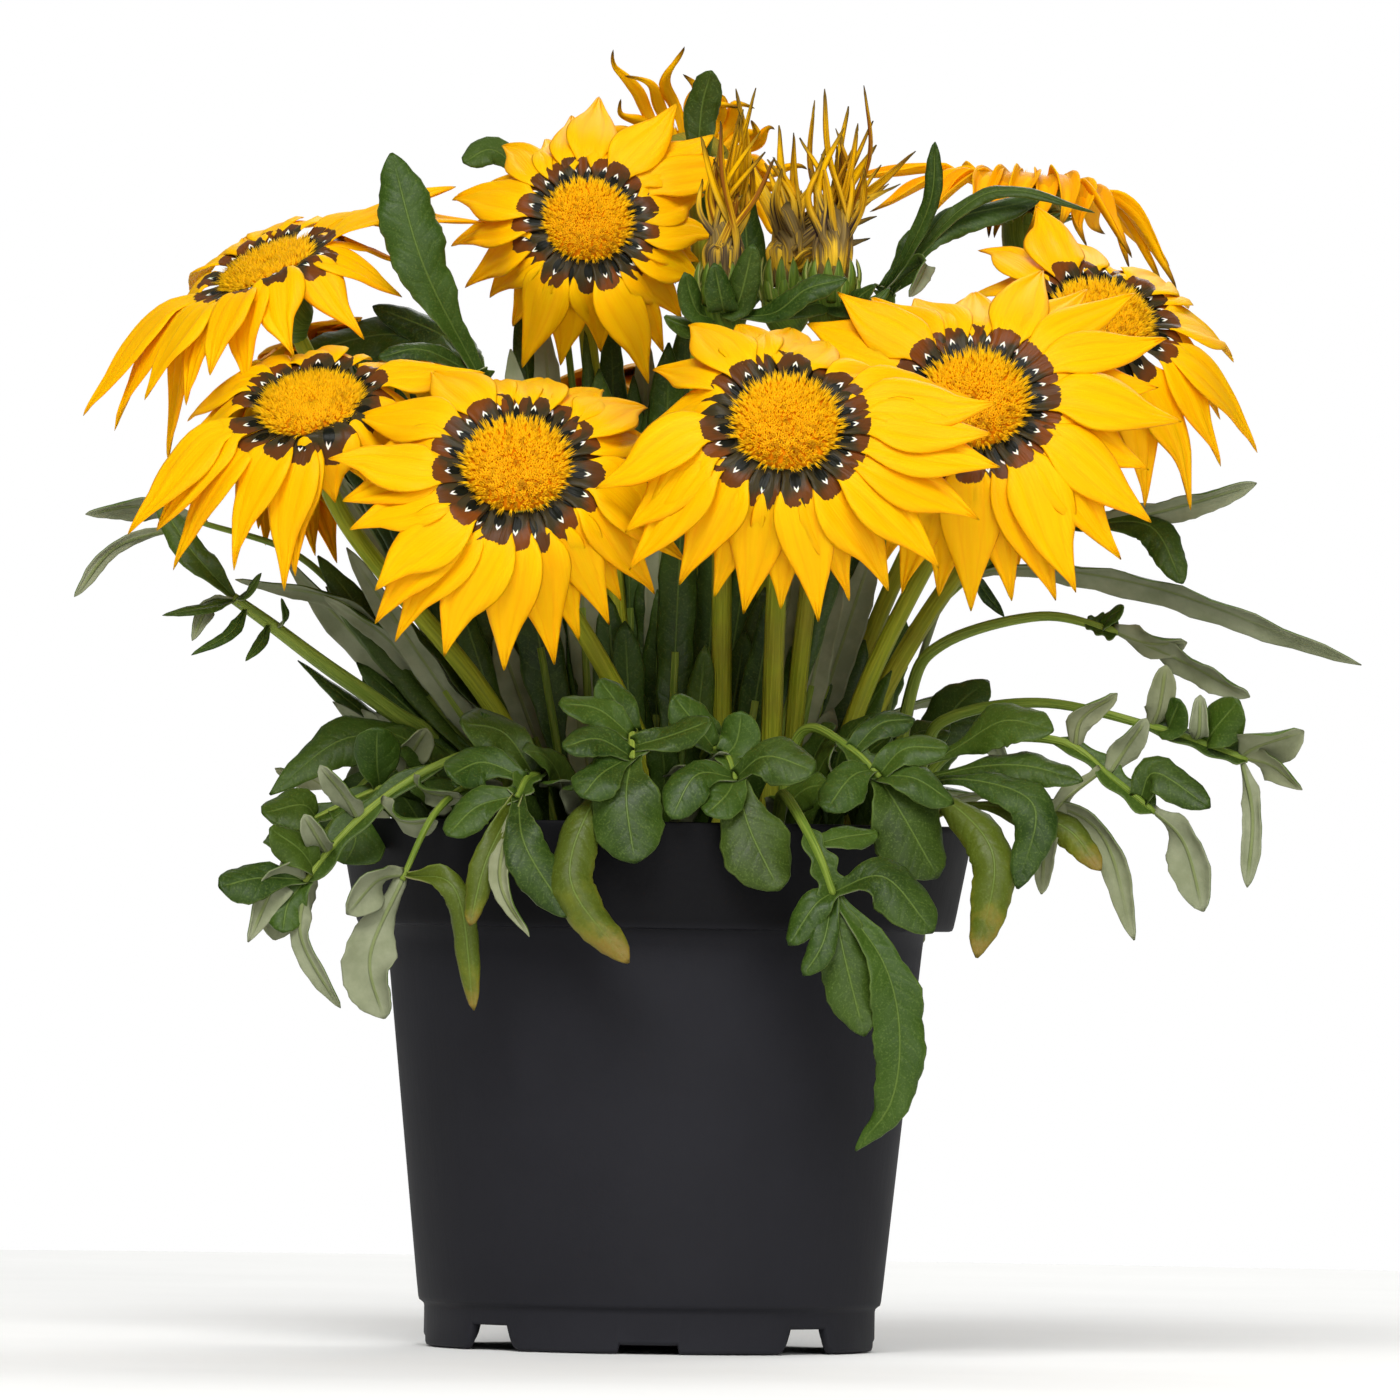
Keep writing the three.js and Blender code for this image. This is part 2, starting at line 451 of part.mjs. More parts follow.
function makeSoil(holes) {
  const p = POT, w = p.wall + SOIL_GAP;
  const rimShare = (SOIL_TOP - p.step - w) / (p.rimTop - p.step);
  let soil = turned([[0, p.floorTop + SOIL_GAP], [p.body - w, p.floorTop + SOIL_GAP],
    [p.bodyTop - w, p.step + w], [p.band - w, p.step + w],
    [p.band - w + (p.rim - p.band) * rimShare, SOIL_TOP], [30, SOIL_CENTRE], [0, SOIL_CENTRE]], 20);
  for (const [x, y, radius, sides] of holes) {
    soil = soil.subtract(post(radius + PLAY, radius + PLAY, HOLE_DEPTH, sides, x, y, HOLE_FLOOR));
  }
  return soil;
}

// ---------------------------------------------------------------- blooms
// Middle line of a ray: out from the hub in its layer, then over to its tip.
function rayCurve(bloom, tip, layer) {
  const n = unit(vector(bloom.face)), at = vector(bloom.at), k = bloom.scale;
  const out = unit(flattened(tip, n));
  const reach = tip.dot(out), drop = tip.dot(n);
  const level = (-0.3 - LAYER * layer) * k;
  const start = plus(plus(at, out, RAY_START * k), n, level);
  const bend = plus(plus(at, out, Math.max(15, 0.62 * reach)), n, level + 1.5 - 0.03 * Math.abs(drop));
  return { curve: new THREE.QuadraticBezierCurve3(start, bend, plus(at, tip)), side: cross(out, n) };
}

// Ray tips from the middle of the bloom: given ones, or evenly spread ones on the far side.
function tipsOf(bloom, index) {
  if (bloom.tips) {
    return bloom.tips.map(([x, z, y]) => {
      const behind = Math.sqrt(Math.max(0, bloom.length ** 2 - x * x - z * z));
      return { tip: vector([x, y ?? behind, z]), fixed: y !== undefined };
    });
  }
  const n = unit(vector(bloom.face)), a = unit(cross(n, vector([0, 0, 1]))), b = cross(n, a);
  return Array.from({ length: BACK_RAYS }, (_, k) => {
    const turn = ((k + 0.5 * draw(index * 31 + k)) / BACK_RAYS) * TURN;
    const fall = 0.44 + 0.1 * Math.sin(2 * turn + index) + 0.08 * draw(index * 57 + k);
    const far = bloom.length * (0.9 + 0.16 * draw(index * 91 + k));
    const outer = onRing(vector([0, 0, 0]), a, b, far * Math.cos(fall), turn);
    return { tip: plus(outer, n, -far * Math.sin(fall)), fixed: true };
  });
}

// Two directions across a bloom's face, for places round it.
function acrossFace(bloom) {
  const n = unit(vector(bloom.face)), a = unit(cross(n, vector([0.02, 1, 0.1])));
  return { n, a, b: cross(n, a) };
}

function makeRays(bloom, index) {
  const { n, a, b } = acrossFace(bloom);
  const k = bloom.scale;
  const order = tipsOf(bloom, index)
    .map((ray) => ({ ...ray, turn: Math.atan2(ray.tip.dot(b), ray.tip.dot(a)), drop: ray.tip.dot(n) }))
    .sort((p, q) => p.turn - q.turn);
  // Neighbouring rays fall away alike: the depth of a tip follows from the smoothed drop.
  const free = n.y < -0.5 ? order.filter((ray) => !ray.fixed) : [];
  for (let pass = 0; pass < 3; pass++) {
    const drops = order.map((ray) => ray.drop);
    order.forEach((ray, i) => {
      const beside = drops.at(i - 1) + drops[(i + 1) % drops.length];
      if (free.includes(ray)) ray.drop = 0.4 * drops[i] + 0.3 * beside;
    });
  }
  for (const { tip, drop } of free) tip.y = (drop - n.x * tip.x - n.z * tip.z) / n.y;
  // Each ray lies in the layer, of three, where it is farthest from the ray before it.
  const last = [-9, -9, -9];
  const rays = order.map(({ tip, turn }, i) => {
    const layer = last.indexOf(Math.min(...last));
    last[layer] = turn;
    const { curve, side } = rayCurve(bloom, plus(tip, n, -LAYER * layer), layer);
    const width = PETAL_WIDTH * k * (1 - 0.05 * layer) * (0.9 + 0.2 * draw(index * 17 + i));
    return blade(curve, OUTLINES.petal, width, PETAL_THICK, cross(side, direction(curve, 0.4)));
  });
  const at = vector(bloom.at);
  const hub = tube([plus(at, n, HUB_BOTTOM * k), plus(at, n, HUB_TOP * k)], [HUB_R * k * 0.8, HUB_R * k], 10);
  return joined([hub, ...rays]);
}

// The yellow middle: a dome whose surface rises and falls with every second floret row.
function makeDisc(bloom) {
  const { n, a, b } = acrossFace(bloom);
  const k = bloom.scale, sides = 10;
  const base = plus(vector(bloom.at), n, HUB_TOP * k + DISC_GAP);
  const ring = (share, height, relief) => Array.from({ length: sides }, (_, i) => {
    const wave = 1 + (i % 2 ? relief : -relief);
    const corner = onRing(base, a, b, DISC_R * k * share * wave, ((i + share) / sides) * TURN);
    return plus(corner, n, DISC_HEIGHT * k * height * wave);
  });
  const dimple = [plus(base, n, DISC_HEIGHT * k * 0.86)];
  return loft([ring(0.86, 0, 0), ring(1, 0.36, 0.03), ring(0.6, 0.9, 0.05), dimple]);
}

// Level of the cup's top, just under the hub, for a bloom's scale.
const cupTop = (k) => (HUB_BOTTOM - 0.4) * k - 0.4;

// Stem line from its hole in the soil, upright through the soil, to the cup under the bloom.
function stemLine(bloom, foot, steps) {
  const n = unit(vector(bloom.face));
  const root = vector([...bloom.root, ROOT_Z]);
  const low = plus(root, vector([0, 0, STEM_UPRIGHT]));
  const rise = foot.z - low.z;
  const bends = [plus(low, vector([0, 0, 0.42 * rise])), plus(foot, n, -Math.min(34, 0.34 * rise))];
  return [root, ...evenly(new THREE.CubicBezierCurve3(low, ...bends, foot), steps)];
}
function makeStem(bloom, extra = []) {
  const n = unit(vector(bloom.face)), k = bloom.scale;
  const top = plus(vector(bloom.at), n, cupTop(k));
  const foot = plus(top, n, -CUP_LENGTH * k);
  const line = stemLine(bloom, foot, 5);
  const radii = [...line.map(() => STEM_R), CUP_R * k * 0.78, CUP_R * k];
  const teeth = [...line.map(() => 0), 0, -1.5]; // the cup ends in points round the bloom's hub
  const stem = tube([...line, plus(foot, n, 3.5), top], radii, 6, teeth);
  return extra.length ? joined([stem, ...extra]) : stem;
}

// A spent bloom: a closed core, with withered rays out of it.
function makeBud(bud, index) {
  const at = vector(bud.at), up = vector([0, 0, 1]);
  const seat = cupTop(BUD_SCALE) + 0.35;
  const core = tube([seat, 9, 18].map((h) => plus(at, up, h)), [4.8, 5.4, 1.8], 6);
  const wisps = bud.tips.map(([x, z, y], i) => {
    const turn = (i / bud.tips.length) * TURN;
    const out = vector([Math.cos(turn), Math.sin(turn), 0]);
    const curve = smooth([
      plus(plus(at, out, 2.4), up, 3),
      plus(plus(at, out, 6), vector([0.15 * x, 0.15 * y, 10])),
      plus(plus(at, out, 3), vector([0.62 * x, 0.62 * y, 0.62 * z + 2])),
      plus(at, vector([x, y, z])),
    ]);
    return blade(curve, OUTLINES.wisp, 3.6 + draw(index * 7 + i), 1.2, out);
  });
  return joined([core, ...wisps]);
}

// ---------------------------------------------------------------- leaves
// The point of the stalks nearest to p, a little away from their ends.
function nearest(lines, p) {
  let best = null;
  for (const line of lines) {
    for (let i = 0; i + 1 < line.length; i++) {
      for (let t = 0.1; t < 0.99; t += 0.16) {
        const q = line[i].clone().lerp(line[i + 1], t);
        if (!best || p.distanceTo(q) < p.distanceTo(best)) best = q;
      }
    }
  }
  return best;
}
// A petiole's line from the crown: steep at first, then over to the first point.
function rooted(root, points) {
  const foot = vector([...root, SOIL_TOP + 1]);
  const [x, y, z] = points[0].clone().lerp(foot, 0.6);
  const knee = vector([x, y, foot.z + 0.75 * (points[0].z - foot.z)]);
  return [foot, knee, ...points];
}
function makeBlade(kind, width, points) {
  const curve = smooth(points);
  if (kind[0] === "k") {
    const line = evenly(curve, points.length);
    return tube(line, line.map((_, i) => (width / 2) * (1.25 - 0.45 * (i / points.length))), 3);
  }
  const outline = kind[2] === "r" && kind[0] !== "t"
    ? [...PETIOLE, ...OUTLINES[kind[0]].slice(2).map(([t, share]) => [0.3 + 0.7 * t, share])]
    : OUTLINES[kind[0] === "o" && width < 10 ? "lobe" : kind[0]];
  return blade(curve, outline, width, LEAF_THICK, FACING[kind[1]]);
}
function makeGroup(group) {
  const lines = group.lines ?? [];
  const stalks = [];
  const crown = SOIL_CENTRE + CROWN.above - ROOT_Z;
  const parts = group.root ? [post(CROWN.foot, CROWN.top, crown, 5, ...group.root, ROOT_Z)] : [];
  for (const [kind, width, ...places] of group.blades) {
    const points = places.map(vector);
    const line = kind[2] === "r"
      ? rooted(group.root, points) : [nearest([...stalks, ...lines], points[0]), ...points];
    if (kind[0] === "k") stalks.push(evenly(smooth(line), line.length));
    parts.push(makeBlade(kind, width, line));
  }
  return parts;
}

// ---------------------------------------------------------------- assembly
const part = new THREE.Group();
part.name = "gazania";

function put(name, body, colour, roughness) {
  const { vertProperties, triVerts } = body.getMesh();
  const geometry = new THREE.BufferGeometry();
  geometry.setAttribute("position", new THREE.BufferAttribute(vertProperties, 3));
  geometry.setIndex(new THREE.BufferAttribute(triVerts, 1));
  geometry.computeVertexNormals();
  const material = new THREE.MeshStandardMaterial({ color: colour, roughness, metalness: 0 });
  const mesh = new THREE.Mesh(geometry, material);
  mesh.name = name;
  part.add(mesh);
}

const holes = [
  ...[...BLOOMS, ...BUDS].map(({ root }) => [...root, STEM_R, 6]),
  ...Object.values(LEAVES).map(({ root }) => [...root, CROWN_R, 5]),
];
put("pot", makePot(), COLOURS.pot, 0.45);
put("soil", makeSoil(holes), COLOURS.soil, 0.95);

BLOOMS.forEach((bloom, i) => {
  put("stem_" + bloom.name, makeStem(bloom), COLOURS.stem, 0.55);
  put("rays_" + bloom.name, makeRays(bloom, i + 1), COLOURS.petal, 0.5);
  put("disc_" + bloom.name, makeDisc(bloom), COLOURS.disc, 0.8);
});

BUDS.forEach((bud, i) => {
  const stem = { ...bud, face: [0, 0, 1], scale: BUD_SCALE };
  const foot = vector(bud.at).setZ(bud.at[2] - 14);
  const lines = [stemLine(stem, foot, 8), [foot, vector(bud.at).setZ(bud.at[2] - 4)]];
  const leaves = bud.name in STEM_LEAVES ? makeGroup({ blades: STEM_LEAVES[bud.name], lines }) : [];
  put("stem_bud_" + bud.name, makeStem(stem, leaves), COLOURS.stem, 0.55);
  put("bud_" + bud.name, makeBud(bud, i + 1), COLOURS.withered, 0.7);
});

for (const [name, group] of Object.entries(LEAVES)) {
  put("leaves_" + name, joined(makeGroup(group)), COLOURS.leaf, 0.5);
}

export default part;
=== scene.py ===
"""A flowering gazania in its black nursery pot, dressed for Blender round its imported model.

Tables and shapes are in millimetres, +Z up, the pot's foot centre at the origin and the plant's best
side towards -Y. Each piece follows the same lines as the solid that it stands for and adds the real
surface: folded rays with their marked bases, florets, bracts, veined and felted leaves, a moulded pot.
"""
import math

import bpy
import numpy as np
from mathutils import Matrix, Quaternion, Vector


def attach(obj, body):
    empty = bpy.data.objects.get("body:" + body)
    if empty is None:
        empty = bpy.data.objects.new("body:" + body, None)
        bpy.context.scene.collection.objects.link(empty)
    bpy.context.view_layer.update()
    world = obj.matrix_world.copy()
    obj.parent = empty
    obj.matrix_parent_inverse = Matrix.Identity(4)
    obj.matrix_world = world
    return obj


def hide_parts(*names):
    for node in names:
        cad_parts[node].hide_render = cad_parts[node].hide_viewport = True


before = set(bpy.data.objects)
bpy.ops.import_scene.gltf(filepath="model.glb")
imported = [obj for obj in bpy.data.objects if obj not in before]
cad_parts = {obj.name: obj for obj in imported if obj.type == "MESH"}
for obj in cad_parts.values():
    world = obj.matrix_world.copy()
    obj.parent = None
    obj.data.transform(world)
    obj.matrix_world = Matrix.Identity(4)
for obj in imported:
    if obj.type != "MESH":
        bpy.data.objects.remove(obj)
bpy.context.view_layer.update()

# ---------------------------------------------------------------- sizes, as in the solids
MM = 0.001
TURN = 2 * math.pi
SOIL_TOP, SOIL_CENTRE, ROOT_Z = 98, 100, 90
SOIL_GAP = 0.45
CROWN = dict(foot=3.1, top=2.4, above=1.5)
STEM_UPRIGHT = 13
CUP_R, CUP_LENGTH = 6.6, 12
HUB_R, HUB_TOP, HUB_BOTTOM = 10.5, 0.3, -3.6
DISC_R, DISC_HEIGHT, DISC_GAP = 12.2, 4.6, 0.35
PETAL_WIDTH, RAY_START, LAYER = 11, 5.5, 1.25
POT = dict(foot=46.2, floor_bottom=7.7, floor_top=9.3, body=47.4, body_top=55.2, step=86, band=61.1,
    rim=65.2, rim_top=107.5, wall=1.3, pad=9, corner_notch=(10, 5), side_notch=(12, 1.7))
RIM_LEAN = (POT["rim"] - POT["band"]) / (POT["rim_top"] - POT["step"])  # outwards for each mm up
DRAIN = dict(count=6, r=4.5, at=30)

# ---------------------------------------------------------------- sizes of the finer surface
PETAL_THICK, LEAF_THICK, WISP_THICK = 0.34, 0.42, 0.4
FLORETS, FLORETS_BACK = 540, 320  # florets of a bloom in front, and of one on the far side
FLORET_R, FLORET_HEIGHT = 0.72, 1.3
SPIKE_LENGTH = 2.15  # of the outermost florets
STEM_R = 2.0  # 0.2 slimmer than the solids' stems
STEM_SIDES, STEM_STEPS = 14, 44
CUP_SIDES = 24  # of a bloom's hub and cup
FOOT_WALL = 1.9  # thickness of the pot's foot ring, which is 3.6 in the solid
POT_STEP = 2.5  # degrees between the pot's upright lines
DRAIN_BEYOND = 1.2  # how far a drain's cutter stands out of the floor
CRUMBS = 380  # loose on the peat
YOUNG_STANDS = [  # how many, where across and in depth, how high, and how far they lean aside
    (66, -34, 36, -20, 32, 130, 180, 0),
    (40, -34, 14, 8, 30, 184, 216, 0),
    (14, -34, -22, 2, 22, 182, 200, -20),
    (22, -38, -26, -6, 20, 128, 166, -22),
    (12, -36, -26, 4, 20, 194, 207, -28)]
LOW_LEAVES = 64

# ---------------------------------------------------------------- the plant
# at: middle of the ray ring; face: the way the bloom looks; root: where its stem enters the soil;
# tips: ray tips sideways and upwards from the middle, with the depth as a third number where the
# ray does not simply fall away behind; slim: the numbers of the rays that are narrower than the others;
# arch: how far the rays in front rise over the marks before they fall; gap: how far apart, in
# radians, two rays stand before another fills in behind them.
BLOOMS = [
    dict(name="1", at=[-81, -8, 219], face=[-0.4, -0.36, 0.84], root=[-29, -3],
        length=42, scale=0.94, arch=5.5, gap=0.7,
        tips=[[-38, -29], [-31, -33], [-25, -26, -14], [-21, -37], [-16, -28, -14], [-12, -20, -24],
            [-4, -23, -18], [6, -18, -22], [19, -12, -16], [27, -4, -8], [27, 3, 6], [38, 18, 2],
            [43, 13, 8], [4, 13, 30], [10, 11, 26], [-7, 10, 26], [-17, -3, 30]]),
    dict(name="2", at=[-71, -40, 190], face=[-0.16, -0.6, 0.78], root=[-24, -15],
        length=41, scale=0.98, arch=4.5, gap=0.7,
        tips=[[-26, -2, 26], [-26, -5, 16], [-37, -25], [-31, -25, -2], [-28, -31], [-15, -33, -8],
            [-5, -36], [-3, -32, -10], [5, -18, -8], [20, -12, -6], [35, 8, 2], [25, -3, 0],
            [-8, 8, 30], [-1, 12, 29], [8, 12, 28], [-20, 4]]),
    dict(name="3", at=[-29, -68, 178], face=[-0.02, -0.87, 0.48], root=[1, -26], length=40, scale=1,
        tips=[[-38, 2, 2], [-33, 11], [-18, 20], [-11, 19], [-4, 19], [5, 19], [17, 18], [26, 14],
            [27, 6], [34, -18], [28, -24], [19, -31], [8, -38], [-2, -40], [-14, -38], [-24, -34],
            [-28, -31], [-28, -25], [-35, -7]]),
    dict(name="4", at=[25, -76, 187], face=[0.03, -0.87, 0.48], root=[23, -27], length=40, scale=1,
        tips=[[-20, 21], [-27, 13], [-29, -1], [-38, -13, 2], [-32, -21, 3], [-31, -28, 3], [-21, -32],
            [-8, -37], [7, -39], [21, -32], [31, -28], [39, -17, -1], [43, -7, -2], [41, -1, -2],
            [42, 6, -1], [25, 8, 19], [14, 10, 30], [8, 18, 29], [1, 22, 31], [-10, 22]]),
    dict(name="5", at=[63, -50, 193], face=[-0.04, -0.88, 0.46], root=[35, -19],
        length=42, scale=1.02, slim=(6, 7),
        tips=[[-28, 23, 9], [-34, 16, 14], [-21, 23], [-12, 22], [0, 24], [14, 28], [33, 24], [39, 14],
            [42, -3], [36, -23], [30, -30], [21, -38], [17, -39], [0, -42], [-14, -38], [-24, -29],
            [-33, -16], [-35, 1]]),
    dict(name="6", at=[89.2, -16, 211], face=[0.18, -0.7, 0.68], root=[38, -6], length=40, scale=0.96,
        tips=[[-13, 25, 18], [-16, 16], [-30, 5], [-25, 15], [-6, 17], [0, 13, 22], [14, 9], [19, 5],
            [28, -7], [33, -25], [25, -29], [19, -38], [10, -36], [1, -38], [-4, -40], [-15, -32],
            [-24, -20], [-29, -8]]),
    dict(name="7", at=[-16, -8, 230], face=[0.05, -0.92, 0.38], root=[-6, -4], length=33, scale=0.84,
        tips=[[2, 28], [-9, 18], [7, 20], [18, 25, 7], [34, 15], [24, 7, 8], [27, -2], [24, -12, 8],
            [16, -25, 9], [13, -32], [3, -26], [-13, -29], [-20, -15], [-25, -12], [-28, -4], [-28, 5],
            [-18, 17]]),
    dict(name="8", at=[76, 38, 239], face=[0.1, 0.1, 0.99], root=[35, 7], length=38, scale=0.95, arch=5,
        tips=[[-26, -7, -16], [-25, -11, -20], [-38, 3, 2], [-19, 8, 24], [-7, 6, 32], [1, 6, 34],
            [8, 4, 33], [14, -1, 32], [23, -9, 24], [28, -14, 14], [30, -19, -2], [19, -12, -20],
            [6, -9, -27], [-7, -9, -28], [-16, -7, -24]]),
    dict(name="9", at=[5, 30, 243], face=[-0.08, 0.88, 0.47], root=[6, 9], length=34, scale=0.85,
        tips=[[-16, 24, -14], [-12, 20, -13], [-5, 25, -15], [1, 19, -12], [6, 17, -11], [12, 13, -8],
            [18, 7, -5], [-21, 10, -8], [-25, -1, -3], [-21, -11, 3], [-13, -19, 7], [0, -23, 8],
            [12, -20, 7], [20, -12, 4], [24, -2, -2]]),
    dict(name="back_left", at=[-72, 46, 196], face=[-0.42, 0.66, 0.62], root=[-17, 24], length=36,
        scale=0.96),
    dict(name="back_middle", at=[-4, 60, 190], face=[0, 0.76, 0.65], root=[1, 27], length=36, scale=0.94),
    dict(name="back_right", at=[66, 66, 196], face=[0.34, 0.74, 0.58], root=[22, 29], length=37, scale=1),
]
BACK_RAYS = 16  # rays of a bloom on the far side

# Spent blooms: closed bundles of withered rays, their tips given as for the blooms, all with their depth.
BUD_SCALE = 0.86
BUNDLE, BUNDLE_GAP = 40, 0.35  # about the height of a bundle, and its gap above the cup
BUDS = [
    dict(name="a", at=[12, -28, 219], root=[13, -13],
        tips=[[-5, 28, -4], [2, 38, 2], [6, 38, -3], [3, 34, 6], [7, 29, -6], [10, 24, 0], [-2, 24, 5],
            [-1, 31, -6]]),
    dict(name="b", at=[25, -6, 221], root=[18, 2],
        tips=[[-8, 23, 4], [1, 28, -3], [13, 20, 6], [18, 26, 2], [26, 25, 5], [23, 18, 0], [17, 7, 6],
            [-11, 30, 5], [-2, 30, 8]]),
    dict(name="c", at=[34, -28, 220], root=[27, -11],
        tips=[[-2, 37, -3], [6, 38, 1], [-4, 35, 4], [8, 31, 4], [2, 29, -7], [-7, 27, -2], [3, 34, 7]]),
]

